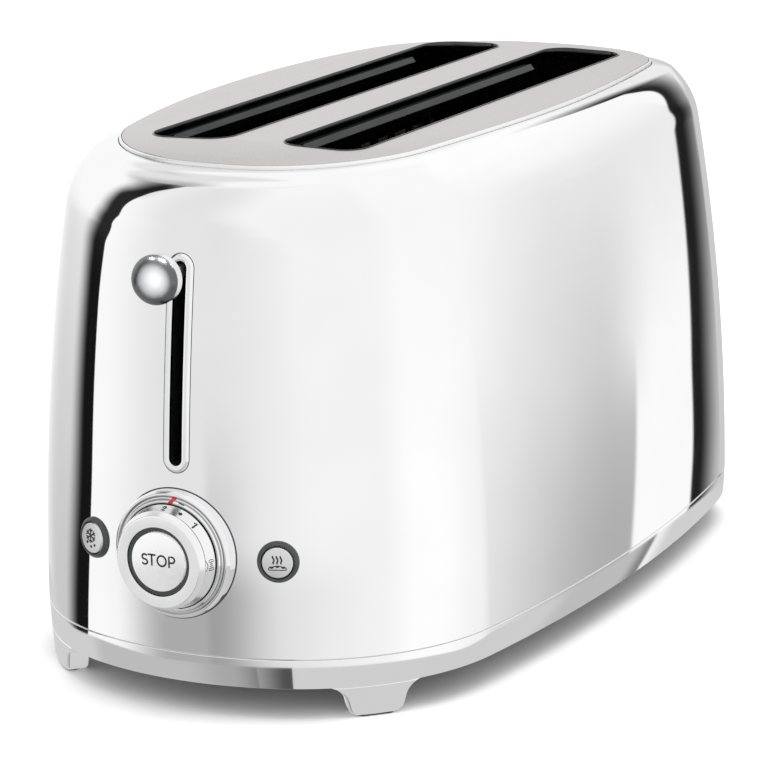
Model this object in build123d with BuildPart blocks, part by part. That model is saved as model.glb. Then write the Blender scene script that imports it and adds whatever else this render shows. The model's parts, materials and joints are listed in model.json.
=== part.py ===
from build123d import *
from math import asin, atan2, cos, degrees, hypot, radians, sin, sqrt
import os

os.makedirs("parts", exist_ok=True)

# A long two-slot toaster, in millimetres. It is drawn about the middle of its body: X runs along the
# length with the controls at -X, Y across the slots, Z up from the floor. Finished pieces are moved
# along X, so that the origin is under the middle of the whole toaster, lever knob included.

# Plan outline of the body: eight arcs, tangent to each other
body_length = 383.4
body_width = 208.0
side_radius = 817.0
end_radius = 122.6
corner_radius = 85.1

# Heights from the floor
band_bottom = 12.6
band_top = 24.0
shoulder_height = 23.2
shell_top = 206.7
plate_rise = 1.7

# Body wall: it leans in on one long arc, then turns over the shoulder
shell_wall = 1.2
lean_radius = 1000.0
shoulder_radius = 37.0

# Clearances: pieces that touch, pieces that are let in, shafts that turn or slide
seat_gap = 0.02
fit_gap = 0.05
screw_gap = 0.1

# Base
band_wall = 2.0
flange_thickness = 1.5
flange_depth = 9.0
base_plate_thickness = 2.2
base_plate_recess = 0.4
base_plate_gap = 0.3
base_screw_inset = 5.5
base_screw_pitch = 60.0
base_screw_radius = 1.5
base_screw_head_radius = 3.0
base_screw_head_height = 1.0
base_screw_end = 0.8

# Feet: one at each rounded corner, flush with the band
foot_bottom = 0.6
foot_depth = 10.0
foot_angle = 45.0
foot_half_width = 10.7
foot_flare_half_width = 18.9
foot_flare_height = 6.0
foot_flare_lean = 1.6
pad_length = 14.0
pad_width = 5.0
pad_corner = 2.0
pad_height = 2.0

# Rim round the top, and the plate that lies in it
rim_width = 4.4
rim_edge_height = 0.8
rim_crown = 0.5
rim_ledge = 3.4
rim_skirt_gap = 2.3
rim_skirt_wall = 1.2
rim_skirt_depth = 3.0
plate_thickness = 1.0

# Bread slots and their liners
slot_end_space = 64.7
slot_width = 36.6
slot_spacing = 57.9
slot_corner_radius = 11.0
liner_wall = 0.8
liner_depth = 2.7
liner_lip = 0.25
liner_flange = 3.2
liner_flange_thickness = 0.5

# Upright plates at both ends of the bread wells, and the reflectors between them
well_margin = 6.0
sheet = 1.0
end_plate_width = 124.0
end_plate_drop = 4.4
end_plate_leg = 11.0
end_plate_flange = 10.0
tray_gate_gap = 0.5
reflector_offset = 58.6
reflector_thickness = 0.6
reflector_bottom = 24.0
reflector_drop = 3.0

# Heaters: a card each side of each slot, with a flat ribbon to and fro on the bread's side
card_offset = 22.2
card_thickness = 0.6
card_bottom = 42.0
card_drop = 19.0
ribbon_end_gap = 13.0
ribbon_width = 2.0
ribbon_thickness = 0.2
ribbon_count = 9
ribbon_margin = 8.0

# Bread guides: a barred frame each side of each slot, which closes on the bread
guide_offset = 16.0
guide_travel = 6.0
guide_thickness = 1.6
guide_end_space = 17.0
guide_bottom = 46.0
guide_corner = 12.0
guide_rail = 3.0
guide_bar = 1.6
guide_bar_count = 13
guide_ear_height = 4.0
guide_ear_low = 62.0
guide_ear_high = 176.0
guide_end_gap = 0.2
lip_thickness = 0.6
lip_rise = 2.2
lip_gap = 0.3
lip_root = 0.4

# Lever and what it carries: it rests a drop under the shell, and its travel ends a gap above the dial
lever_drop = 37.3
lever_dial_gap = 12.8
lever_slot_width = 5.4
lever_slot_above = 3.6
lever_slot_below = 3.9
bezel_width = 2.6
bezel_proud = 1.1
bezel_sleeve = 0.8
bezel_sleeve_depth = 3.0
knob_radius = 9.45
knob_depth = 7.1
knob_out = 6.6
collar_radius = 9.2
collar_length = 4.6
collar_bevel = 1.0
stem_width = 4.0
stem_height = 4.4
stem_pin_radius = 2.0
stem_pin_length = 4.0
rack_width = 8.0
rack_thickness = 1.5
rack_web_height = 7.0
rack_web_thickness = 1.2
rack_top = 103.5
rack_tooth_height = 2.4
rack_tooth_length = 3.0
rack_tooth_pitch = 18.0
rack_tooth_margin = 23.0
rack_gap = 1.0
rack_overhang = 4.0
carriage_gap = 1.5
carriage_thickness = 2.0
carriage_width = 70.0
carriage_bottom = 93.0
carriage_shoulder = 119.0
carriage_tongue_width = 24.0
carriage_block_width = 14.0
carriage_block_length = 14.5
carriage_block_height = 30.0
rod_radius = 3.0
rod_offset = 9.0
rod_tab_thickness = 3.0
rod_tab_length = 14.0
rod_tab_width = 14.0
rod_drop = 4.0
spring_y = -19.0
spring_radius = 3.4
spring_wire_radius = 0.45
spring_turns = 14
spring_drop = 17.0
spring_tab_width = 10.0
spring_tab_thickness = 2.0
magnet_y = 22.0
magnet_gap = 1.5
magnet_length = 18.0
magnet_width = 20.0
magnet_foot_height = 12.0
magnet_coil_top = 43.0
magnet_coil_size = 15.0
magnet_core_size = 7.0
magnet_top = 46.0
armature_gap = 0.3
armature_thickness = 2.0

# Dial, seen from the front: a fixed ring, a turning knob and a button in the knob's middle. A place
# called _out is a distance beyond the end of the body, and one below zero is inside it.
dial_height = 62.8
ring_radius = 24.8
ring_edge_out = 0.7
ring_crest_radius = 23.4
ring_crest_out = 2.2
ring_cove_radius = 22.1
ring_cove_out = 1.9
ring_lip_radius = 21.5
ring_lip_out = 3.6
ring_bore_radius = 20.6
ring_root_out = -11.7
ring_sleeve_radius = 21.9
ring_sleeve_out = -8.7
marker_angle = 4.5
dial_back_out = -0.2
dial_skirt_out = 3.8
dial_skirt_radius = 20.2
dial_skirt_bore = 18.7
dial_neck_out = 8.5
dial_neck_radius = 18.5
dial_edge_out = 9.9
dial_edge_radius = 19.2
dial_face_out = 11.8
dial_face_radius = 17.6
dial_cup_radius = 13.4
dial_cup_out = 6.3
dial_web = 1.8
dial_hub_radius = 6.0
dial_hub_out = -5.7
insert_out = 10.6
shaft_radius = 4.0
shaft_out = -13.7
stop_radius = 11.45
stop_gap = 0.12
stop_out = 11.7
stop_thickness = 2.8
stop_bevel = 0.3
stop_travel = 1.3
stop_stem_radius = 1.8
press_gap = 0.3

# Control board behind the dial, and its bracket
board_out = -15.7
board_thickness = 1.6
board_width = 92.0
board_height = 46.0
pot_radius = 9.0
pot_depth = 6.0
stop_switch_radius = 3.0
stop_switch_depth = 1.6
bracket_width = 60.0
bracket_rise = 26.0
bracket_foot = 12.0
bracket_screw_y = 22.0
board_screw_radius = 1.2
board_screw_head_radius = 2.2
board_screw_head_height = 1.2
board_screw_length = 3.6
board_screw_y = 26.0
board_screw_z = 19.0

# Buttons each side of the dial, in dark rings
button_height = 62.5
button_offset = 39.7
button_radius = 5.85
button_gap = 0.15
button_out = -4.1
button_thickness = 2.4
button_bevel = 0.3
button_travel = 1.5
button_stem_radius = 2.0
button_ring_radius = 7.9
button_ring_out = -3.7
button_ring_bevel = 0.5
button_sleeve_radius = 6.9
button_sleeve_out = -11.7
button_switch_size = 6.4
button_switch_depth = 3.5
button_plunger_radius = 1.5
button_plunger_depth = 0.8

# Crumb tray: it slides out of the far end, under the heaters
tray_width = 98.0
tray_end_gap = 5.0
tray_floor = 0.6
tray_wall = 0.8
tray_rim_height = 3.6
tray_lift = 0.3
tray_front_height = 6.0
tray_front_depth = 3.0
tray_front_gap = 0.3
rail_gap = 0.3
rail_wall = 1.2
rail_lip = 2.4
rail_end_gap = 7.0
rail_overhang = 17.0

# Cord outlet and terminals, at the far end of the base
gland_from_end = 63.7
gland_from_side = 32.0
gland_bore_radius = 3.7
gland_body_radius = 6.0
gland_flange_radius = 8.5
gland_flange_thickness = 1.0
gland_height = 7.0
terminal_from_end = 91.7
terminal_from_side = 26.0
terminal_length = 24.0
terminal_width = 14.0
terminal_height = 13.0
terminal_screw_radius = 2.0
terminal_screw_height = 0.8
terminal_screw_pitch = 8.0

# Places that follow from the sizes above
half_length = body_length / 2
half_width = body_width / 2
end_centre = half_length - end_radius
side_centre = half_width - side_radius
shoulder_start = shell_top - shoulder_height
plate_top = shell_top + plate_rise
slot_half = slot_spacing / 2
slot_length = body_length - 2 * slot_end_space
well_length = slot_length + 2 * well_margin
well_half = well_length / 2
plate_outside = well_half + sheet
base_plate_bottom = band_bottom + base_plate_recess
base_top = base_plate_bottom + base_plate_thickness
plate_underside = plate_top - plate_thickness
end_plate_top = plate_underside - end_plate_drop
reflector_top = end_plate_top - reflector_drop
card_top = end_plate_top - card_drop
rod_top = end_plate_top - rod_drop
spring_top = end_plate_top - spring_drop
ribbon_length = well_length - 2 * ribbon_end_gap
guide_length = well_length - 2 * guide_end_space
guide_top = plate_underside - liner_depth - lip_gap - lip_rise
tray_bottom = base_top + tray_lift
tray_gate_top = tray_bottom + tray_front_height + tray_front_gap
rail_top = tray_bottom + tray_rim_height + rail_gap + rail_wall
rail_outside = tray_width / 2 + rail_gap + rail_wall
leg_y = (end_plate_width - end_plate_leg) / 2
carriage_x = plate_outside + carriage_gap
carriage_front_x = carriage_x + carriage_thickness
rod_x = plate_outside + rod_offset
stop_back_out = stop_out - stop_thickness
lever_height = shell_top - lever_drop
lever_low = dial_height + ring_radius + lever_dial_gap
lever_travel = lever_height - lever_low
lever_slot_top = lever_height + lever_slot_above
lever_slot_bottom = lever_low - lever_slot_below
lever_slot_length = lever_slot_top - lever_slot_bottom
lever_slot_middle = (lever_slot_top + lever_slot_bottom) / 2
wall_room = 60.0
wall_cut_depth = 20.0
gland_x = half_length - gland_from_end
gland_y = half_width - gland_from_side
terminal_x = half_length - terminal_from_end
terminal_y = half_width - terminal_from_side
tray_start_x = well_half - tray_end_gap
frame_shift = (knob_out + knob_depth) / 2


def corner_point():
    """Centre of a rounded corner, where its arc is tangent to the end's and the side's."""
    to_side = side_radius - corner_radius
    to_end = end_radius - corner_radius
    span = hypot(end_centre, side_centre)
    along = (to_side**2 - to_end**2 + span**2) / (2 * span)
    across = sqrt(to_side**2 - along**2)
    ux = end_centre / span
    uy = -side_centre / span
    return along * ux - across * -uy, side_centre + along * uy - across * ux


corner_x, corner_y = corner_point()
end_angle = degrees(atan2(corner_y, corner_x - end_centre))
side_angle = degrees(atan2(corner_y - side_centre, corner_x))


def draw_outline(inset):
    """Draw the plan outline, inset by a distance, once round from the middle of the +X end."""
    turn = side_angle - end_angle
    arcs = [
        (end_centre, 0, end_radius, 0, end_angle),
        (corner_x, corner_y, corner_radius, end_angle, turn),
        (0, side_centre, side_radius, side_angle, 180 - 2 * side_angle),
        (-corner_x, corner_y, corner_radius, 180 - side_angle, turn),
        (-end_centre, 0, end_radius, 180 - end_angle, 2 * end_angle),
        (-corner_x, -corner_y, corner_radius, 180 + end_angle, turn),
        (0, -side_centre, side_radius, 180 + side_angle, 180 - 2 * side_angle),
        (corner_x, -corner_y, corner_radius, 360 - side_angle, turn),
        (end_centre, 0, end_radius, 360 - end_angle, end_angle),
    ]
    for x, y, radius, start, size in arcs:
        CenterArc((x, y), radius - inset, start, size)


def wall_curve(outside):
    """Points of the wall's two arcs at the +X end, a distance outside its outer face: X and Z."""
    lean = asin((shoulder_start - band_top) / lean_radius)
    reach = lean_radius - shoulder_radius
    lean_x = half_length - lean_radius
    turn_x = lean_x + reach * cos(lean)
    turn_z = band_top + reach * sin(lean)
    top = asin(min(1, (shell_top - turn_z) / (shoulder_radius + outside)))
    points = []
    for angle in (0, lean / 2, lean):
        radius = lean_radius + outside
        points.append((lean_x + radius * cos(angle), band_top + radius * sin(angle)))
    for angle in ((lean + top) / 2, top):
        radius = shoulder_radius + outside
        points.append((turn_x + radius * cos(angle), turn_z + radius * sin(angle)))
    return points


def wall_layer(outer, inner):
    """A layer of the body wall all round, between two distances from its outer face."""
    out = wall_curve(outer)
    back = wall_curve(inner)
    with BuildPart() as layer:
        with BuildLine(Plane.XY.offset(band_top)) as path:
            draw_outline(0)
        with BuildSketch(Plane.XZ):
            with BuildLine():
                ThreePointArc(out[0], out[1], out[2])
                ThreePointArc(out[2], out[3], out[4])
                Line(out[4], back[4])
                ThreePointArc(back[4], back[3], back[2])
                ThreePointArc(back[2], back[1], back[0])
                Line(back[0], out[0])
            make_face()
        sweep(path=path.wire())
    return layer.part


rim_inset = half_length - wall_curve(0)[-1][0]


def front_plane(out, y, z):
    """A plane that faces the controls' end, a distance beyond the body, with its X to the right."""
    return Plane(origin=(-half_length - out, y, z), x_dir=(0, -1, 0), z_dir=(-1, 0, 0))


def turning_plane(y, z):
    """A plane through an axis along X: its X runs out from the end of the body, its Y is a radius."""
    return Plane(origin=(-half_length, y, z), x_dir=(-1, 0, 0), z_dir=(0, 1, 0))


def turned(y, z, *points):
    """A round piece about an axis along X: each point is a distance beyond the body and a radius."""
    with BuildPart() as piece:
        with BuildSketch(turning_plane(y, z)):
            with BuildLine():
                Polyline(*points, close=True)
            make_face()
        revolve(axis=Axis((0, y, z), (1, 0, 0)))
    return piece.part


def save(name, piece):
    """Move a finished piece into the common frame, label it and write it."""
    placed = Pos(frame_shift, 0, 0) * piece
    placed.label = name
    export_step(placed, f"parts/{name}.step")


def band_screw_places():
    """Places of the screws along both long sides of the band's flange."""
    radius = side_radius - base_screw_inset
    places = []
    for step in (-1.5, -0.5, 0.5, 1.5):
        x = step * base_screw_pitch
        y = side_centre + sqrt(radius**2 - x**2)
        places += [(x, y), (x, -y)]
    return places


# Places of the screws that come up through the base plate
flange_x = plate_outside + end_plate_flange / 2
plate_screws = [(x, y) for x in (flange_x, -flange_x) for y in (leg_y, -leg_y)]
bracket_back_out = board_out - board_thickness - flange_thickness
bracket_foot_x = half_length + bracket_back_out - bracket_foot / 2
bracket_screws = [(-bracket_foot_x, bracket_screw_y), (-bracket_foot_x, -bracket_screw_y)]
base_screw_places = band_screw_places() + plate_screws + bracket_screws

# A thick layer of the wall, to cut the trim of the control end off on the wall's outer face
wall_body = wall_layer(seat_gap, -wall_cut_depth)

# Wedges that shape the feet: straight down in the middle, flared out to the band
with BuildPart() as foot_wedges:
    for quarter in range(4):
        turn = radians(foot_angle + 90 * quarter)
        side_x = corner_x if cos(turn) > 0 else -corner_x
        side_y = corner_y if sin(turn) > 0 else -corner_y
        knee = foot_half_width + foot_flare_lean
        knee_z = band_bottom - foot_flare_height
        foot_plane = Plane(
            origin=(side_x, side_y, 0),
            x_dir=(-sin(turn), cos(turn), 0),
            z_dir=(cos(turn), sin(turn), 0),
        )
        with BuildSketch(foot_plane):
            with BuildLine():
                Line((-foot_half_width, foot_bottom), (foot_half_width, foot_bottom))
                Line((foot_half_width, foot_bottom), (knee, knee_z))
                right = TangentArc(
                    (knee, knee_z),
                    (foot_flare_half_width, band_bottom),
                    tangent=(foot_flare_lean, knee_z - foot_bottom),
                )
                Line((foot_flare_half_width, band_bottom), (-foot_flare_half_width, band_bottom))
                mirror(right, about=Plane.YZ)
                Line((-knee, knee_z), (-foot_half_width, foot_bottom))
            make_face()
        extrude(amount=corner_radius + 1)

with BuildPart() as foot_pads:
    for quarter in range(4):
        turn = radians(foot_angle + 90 * quarter)
        reach = corner_radius - foot_depth / 2
        pad_x = (corner_x if cos(turn) > 0 else -corner_x) + reach * cos(turn)
        pad_y = (corner_y if sin(turn) > 0 else -corner_y) + reach * sin(turn)
        pad_plane = Plane(origin=(pad_x, pad_y, 0), x_dir=(-sin(turn), cos(turn), 0))
        with BuildSketch(pad_plane):
            RectangleRounded(pad_length, pad_width, pad_corner)
        extrude(amount=pad_height)

with BuildPart() as feet:
    with BuildSketch(Plane.XY.offset(foot_bottom)):
        with BuildLine():
            draw_outline(0)
        make_face()
        with BuildLine():
            draw_outline(foot_depth)
        make_face(mode=Mode.SUBTRACT)
    extrude(amount=band_bottom - foot_bottom)
    add(foot_wedges.part, mode=Mode.INTERSECT)
    add(foot_pads.part, mode=Mode.SUBTRACT)

# Base band with its inner flange; the feet stand under it, flush with its outer face
with BuildPart() as base_band:
    with BuildSketch(Plane.XY.offset(band_bottom)):
        with BuildLine():
            draw_outline(0)
        make_face()
        with BuildLine():
            draw_outline(band_wall)
        make_face(mode=Mode.SUBTRACT)
    extrude(amount=band_top - band_bottom)
    with BuildSketch(Plane.XY.offset(base_top)):
        with BuildLine():
            draw_outline(band_wall)
        make_face()
        with BuildLine():
            draw_outline(flange_depth)
        make_face(mode=Mode.SUBTRACT)
        with Locations(*band_screw_places()):
            Circle(base_screw_radius + seat_gap, mode=Mode.SUBTRACT)
    extrude(amount=flange_thickness)
    with BuildSketch(Plane.YZ.offset(half_length - wall_room)):
        with Locations((0, (base_top + tray_gate_top) / 2)):
            Rectangle(tray_width + 2 * tray_front_gap, tray_gate_top - base_top)
    extrude(amount=2 * wall_room, mode=Mode.SUBTRACT)

# Sheet underneath, with the holes for its screws and for the cord outlet
with BuildPart() as base_plate:
    with BuildSketch(Plane.XY.offset(base_plate_bottom)):
        with BuildLine():
            draw_outline(band_wall + base_plate_gap)
        make_face()
        with Locations(*base_screw_places):
            Circle(base_screw_radius + screw_gap, mode=Mode.SUBTRACT)
        with Locations((gland_x, gland_y)):
            Circle(gland_body_radius + fit_gap, mode=Mode.SUBTRACT)
    extrude(amount=base_plate_thickness)

with BuildPart() as base_screws:
    with BuildSketch(Plane.XY.offset(base_plate_bottom)):
        with Locations(*base_screw_places):
            Circle(base_screw_head_radius)
    extrude(amount=-base_screw_head_height)
    with BuildSketch(Plane.XY.offset(base_plate_bottom)):
        with Locations(*base_screw_places):
            Circle(base_screw_radius)
    extrude(amount=base_plate_thickness + flange_thickness + base_screw_end)

# Body shell: the chromed wall, open at the top and bottom, pierced for the controls
with BuildPart() as body_shell:
    add(wall_layer(0, -shell_wall))
    with BuildSketch(front_plane(-wall_room, 0, lever_slot_middle)):
        around = 2 * (bezel_sleeve + fit_gap)
        SlotOverall(lever_slot_length + around, lever_slot_width + around, rotation=90)
    extrude(amount=2 * wall_room, mode=Mode.SUBTRACT)
    with BuildSketch(front_plane(-wall_room, 0, dial_height)):
        Circle(ring_sleeve_radius + fit_gap)
    extrude(amount=2 * wall_room, mode=Mode.SUBTRACT)
    with BuildSketch(front_plane(-wall_room, 0, button_height)):
        with Locations((-button_offset, 0), (button_offset, 0)):
            Circle(button_sleeve_radius + fit_gap)
    extrude(amount=2 * wall_room, mode=Mode.SUBTRACT)

# Rim: a rounded bead that stands on the shell, with a ledge for the plate and a skirt inside
with BuildPart() as top_rim:
    with BuildLine(Plane.XY.offset(shell_top)) as rim_path:
        draw_outline(0)
    outer_x = half_length - rim_inset
    inner_x = outer_x - rim_width
    skirt_x = outer_x - rim_skirt_gap
    with BuildSketch(Plane.XZ):
        with BuildLine():
            Line((outer_x, shell_top), (outer_x, shell_top + rim_edge_height))
            ThreePointArc(
                (outer_x, shell_top + rim_edge_height),
                ((outer_x + inner_x) / 2, plate_top + rim_crown),
                (inner_x, plate_top),
            )
            Polyline(
                (inner_x, plate_top),
                (inner_x, plate_underside),
                (inner_x - rim_ledge, plate_underside),
                (inner_x - rim_ledge, plate_underside - sheet),
                (skirt_x - rim_skirt_wall, plate_underside - sheet),
                (skirt_x - rim_skirt_wall, shell_top - rim_skirt_depth),
                (skirt_x, shell_top - rim_skirt_depth),
                (skirt_x, shell_top),
                (outer_x, shell_top),
            )
        make_face()
    sweep(path=rim_path.wire())

slot_places = [(0, slot_half), (0, -slot_half)]

with BuildPart() as top_plate:
    with BuildSketch(Plane.XY.offset(plate_underside)):
        with BuildLine():
            draw_outline(rim_inset + rim_width + fit_gap)
        make_face()
        with Locations(*slot_places):
            RectangleRounded(slot_length, slot_width, slot_corner_radius, mode=Mode.SUBTRACT)
    extrude(amount=plate_thickness)


def slot_liner(side):
    """Liner of one slot: a wall with a thin lip over the plate, and a flange under it."""
    length = slot_length - 2 * fit_gap
    width = slot_width - 2 * fit_gap
    corner = slot_corner_radius - fit_gap
    with BuildPart() as liner:
        with BuildSketch(Plane.XY.offset(plate_underside - liner_depth)):
            with Locations((0, side * slot_half)):
                RectangleRounded(length, width, corner)
                RectangleRounded(
                    length - 2 * liner_wall,
                    width - 2 * liner_wall,
                    corner - liner_wall,
                    mode=Mode.SUBTRACT,
                )
        extrude(amount=liner_depth + plate_thickness + liner_lip)
        with BuildSketch(Plane.XY.offset(plate_underside)):
            with Locations((0, side * slot_half)):
                RectangleRounded(
                    slot_length + 2 * liner_flange,
                    slot_width + 2 * liner_flange,
                    slot_corner_radius + liner_flange,
                )
                RectangleRounded(
                    length - 2 * liner_wall,
                    width - 2 * liner_wall,
                    corner - liner_wall,
                    mode=Mode.SUBTRACT,
                )
        extrude(amount=-liner_flange_thickness)
    return liner.part


def chassis_plate(end):
    """Upright plate with a slot for each bread rack: end is -1 at the controls, 1 at the far end."""
    rack_bottom = rack_top - rack_thickness - rack_web_height - lever_travel - rack_gap
    rack_clear = rack_top + rack_tooth_height + rack_gap
    with BuildPart() as plate:
        with BuildSketch(Plane.YZ.offset(end * well_half)):
            with Locations((0, (base_top + end_plate_top) / 2)):
                Rectangle(end_plate_width, end_plate_top - base_top)
            with Locations(*[(y, (rack_bottom + rack_clear) / 2) for _, y in slot_places]):
                Rectangle(rack_width + 2 * rack_gap, rack_clear - rack_bottom, mode=Mode.SUBTRACT)
        extrude(amount=end * sheet)
        with BuildSketch(Plane.XY.offset(base_top)):
            with Locations(*[(end * flange_x, y) for y in (leg_y, -leg_y)]):
                Rectangle(end_plate_flange, end_plate_leg)
                Circle(base_screw_radius + seat_gap, mode=Mode.SUBTRACT)
        extrude(amount=flange_thickness)
    return plate.part


with BuildPart() as chassis_plate_front:
    add(chassis_plate(-1))
    with BuildSketch(Plane.XY.offset(rod_top)):
        with Locations((-plate_outside - rod_tab_length / 2, 0)):
            Rectangle(rod_tab_length, rod_tab_width)
        with Locations((-rod_x, 0)):
            Circle(rod_radius + seat_gap, mode=Mode.SUBTRACT)
    extrude(amount=-rod_tab_thickness)
    with BuildSketch(Plane.XY.offset(spring_top)):
        with Locations((-plate_outside - rod_tab_length / 2, spring_y)):
            Rectangle(rod_tab_length, spring_tab_width)
    extrude(amount=spring_tab_thickness)

with BuildPart() as chassis_plate_rear:
    add(chassis_plate(1))
    with BuildSketch(Plane.YZ.offset(well_half - sheet)):
        with Locations((0, (base_top + tray_gate_top) / 2)):
            Rectangle(2 * (rail_outside + tray_gate_gap), tray_gate_top - base_top)
    extrude(amount=3 * sheet, mode=Mode.SUBTRACT)


def reflector(side):
    """Bright sheet behind the outer heater card of one slot, from plate to plate."""
    with BuildPart() as piece:
        with BuildSketch(Plane.YZ.offset(-well_half)):
            with Locations((side * reflector_offset, (reflector_bottom + reflector_top) / 2)):
                Rectangle(reflector_thickness, reflector_top - reflector_bottom)
        extrude(amount=well_length)
    return piece.part


def heater_card(side, inward):
    """Thin card from plate to plate: side is the slot's, inward the card's side of the slot."""
    with BuildPart() as piece:
        with BuildSketch(Plane.YZ.offset(-well_half)):
            y = side * slot_half + inward * card_offset
            with Locations((y, (card_bottom + card_top) / 2)):
                Rectangle(card_thickness, card_top - card_bottom)
        extrude(amount=well_length)
    return piece.part


def heater_ribbon(side, inward):
    """One flat ribbon to and fro over a card's bread side, joined at alternate ends."""
    face = side * slot_half + inward * (card_offset - card_thickness / 2)
    pitch = (card_top - card_bottom - 2 * ribbon_margin) / (ribbon_count - 1)
    with BuildPart() as piece:
        with BuildSketch(Plane(origin=(0, face, 0), x_dir=(1, 0, 0), z_dir=(0, -inward, 0))) as lay:
            up = lay.workplanes[0].y_dir.Z
            for run in range(ribbon_count):
                z = card_bottom + ribbon_margin + run * pitch
                with Locations((0, up * z)):
                    Rectangle(ribbon_length, ribbon_width)
                if run < ribbon_count - 1:
                    end = (ribbon_length - ribbon_width) / 2 * (1 if run % 2 else -1)
                    with Locations((end, up * (z + pitch / 2))):
                        Rectangle(ribbon_width, pitch)
        extrude(amount=ribbon_thickness)
    return piece.part


def bread_guide(side, inward):
    """Barred frame with a sloping lip on top: inward is the guide's side of its slot."""
    y = side * slot_half + inward * guide_offset
    height = guide_top - guide_bottom
    middle = (guide_top + guide_bottom) / 2
    inner_length = guide_length - 2 * guide_rail
    with BuildPart() as piece:
        with BuildSketch(Plane.XZ.offset(-y)):
            with Locations((0, middle)):
                RectangleRounded(guide_length, height, guide_corner)
                RectangleRounded(
                    inner_length,
                    height - 2 * guide_rail,
                    guide_corner - guide_rail,
                    mode=Mode.SUBTRACT,
                )
                with GridLocations(inner_length / (guide_bar_count + 1), 0, guide_bar_count, 1):
                    Rectangle(guide_bar, height - guide_rail)
            with Locations((0, guide_ear_low), (0, guide_ear_high)):
                Rectangle(2 * (well_half - guide_end_gap), guide_ear_height)
        extrude(amount=guide_thickness / 2, both=True)
        with BuildSketch(Plane.YZ.offset(guide_corner - guide_length / 2)):
            with BuildLine():
                Polyline(
                    (y - inward * lip_thickness / 2, guide_top - lip_root),
                    (y + inward * lip_thickness / 2, guide_top - lip_root),
                    (y + inward * (lip_thickness / 2 + lip_rise), guide_top + lip_rise),
                    (y + inward * (lip_rise - lip_thickness / 2), guide_top + lip_rise),
                    close=True,
                )
            make_face()
        extrude(amount=guide_length - 2 * guide_corner)
    return piece.part


# Trim of the lever's slot: a low ring on the wall, with a sleeve through it
def bezel_ring(width, outer, inner):
    """A ring round the lever's slot, cut from a layer of the wall."""
    with BuildPart() as ring:
        with BuildSketch(front_plane(-wall_room, 0, lever_slot_middle)):
            SlotOverall(lever_slot_length + 2 * width, lever_slot_width + 2 * width, rotation=90)
            SlotOverall(lever_slot_length, lever_slot_width, rotation=90, mode=Mode.SUBTRACT)
        extrude(amount=2 * wall_room)
        add(wall_layer(outer, inner), mode=Mode.INTERSECT)
    return ring.part


with BuildPart() as lever_bezel:
    add(bezel_ring(bezel_width, bezel_proud, seat_gap))
    add(bezel_ring(bezel_sleeve, bezel_proud, -shell_wall - bezel_sleeve_depth))

# Lever: a domed knob on a collar, and a flat stem with a round end
with BuildPart() as lever_knob:
    with BuildSketch(turning_plane(0, lever_height)):
        with Locations((knob_out, 0)):
            Ellipse(knob_depth, knob_radius)
        with Locations((knob_out - knob_radius, 0)):
            Rectangle(2 * knob_radius, 3 * knob_radius, mode=Mode.SUBTRACT)
        with Locations((knob_out, -knob_radius)):
            Rectangle(3 * knob_radius, 2 * knob_radius, mode=Mode.SUBTRACT)
    revolve(axis=Axis((0, 0, lever_height), (1, 0, 0)))

collar_back_out = knob_out - collar_length
with BuildPart() as lever_collar:
    add(
        turned(
            0,
            lever_height,
            (collar_back_out, 0),
            (collar_back_out, collar_radius - collar_bevel),
            (collar_back_out + collar_bevel, collar_radius),
            (knob_out, collar_radius),
            (knob_out, 0),
        )
    )
    with BuildSketch(front_plane(collar_back_out, 0, lever_height)):
        Circle(stem_pin_radius + seat_gap)
    extrude(amount=stem_pin_length, mode=Mode.SUBTRACT)

block_out = carriage_front_x + carriage_block_length - half_length
with BuildPart() as lever_stem:
    with BuildSketch(front_plane(block_out, 0, lever_height)):
        Rectangle(stem_width, stem_height)
    extrude(amount=collar_back_out - block_out)
    with BuildSketch(front_plane(collar_back_out, 0, lever_height)):
        Circle(stem_pin_radius)
    extrude(amount=stem_pin_length)

# Carriage: a plate in front of the wells, with a block that slides on the rod
with BuildPart() as carriage:
    with BuildSketch(front_plane(carriage_x - half_length, 0, 0)):
        with Locations((0, (carriage_bottom + carriage_shoulder) / 2)):
            Rectangle(carriage_width, carriage_shoulder - carriage_bottom)
        tongue_top = lever_height + carriage_block_height / 2
        with Locations((0, (carriage_bottom + tongue_top) / 2)):
            Rectangle(carriage_tongue_width, tongue_top - carriage_bottom)
    extrude(amount=carriage_thickness)
    with BuildSketch(front_plane(carriage_front_x - half_length, 0, lever_height)):
        Rectangle(carriage_block_width, carriage_block_height)
    extrude(amount=carriage_block_length)
    with BuildSketch(Plane.XY.offset(carriage_shoulder)):
        with Locations((-carriage_front_x - spring_tab_width / 2, spring_y)):
            Rectangle(spring_tab_width, spring_tab_width)
    extrude(amount=-spring_tab_thickness)
    with BuildSketch(Plane.XY.offset(carriage_bottom)):
        with Locations((-rod_x, 0)):
            Circle(rod_radius + fit_gap)
    extrude(amount=2 * carriage_block_height + carriage_shoulder, mode=Mode.SUBTRACT)


def bread_rack(side):
    """Rack that lifts the bread in one slot: a toothed strip on a web, from end to end."""
    y = side * slot_half
    length = carriage_x + plate_outside + rack_overhang
    strip_z = rack_top - rack_thickness / 2
    web_z = rack_top - rack_thickness - rack_web_height / 2
    tooth_count = 1 + int((well_length - 2 * rack_tooth_margin) / rack_tooth_pitch)
    with BuildPart() as piece:
        with BuildSketch(Plane.YZ.offset(-carriage_x)):
            with Locations((y, strip_z)):
                Rectangle(rack_width, rack_thickness)
            with Locations((y, web_z)):
                Rectangle(rack_web_thickness, rack_web_height)
        extrude(amount=length)
        with BuildSketch(Plane.XZ.offset(-y)):
            with Locations((0, rack_top + rack_tooth_height / 2)):
                with GridLocations(rack_tooth_pitch, 0, tooth_count, 1):
                    Trapezoid(rack_tooth_length, rack_tooth_height, 60)
        extrude(amount=rack_web_thickness / 2, both=True)
    return piece.part


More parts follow.
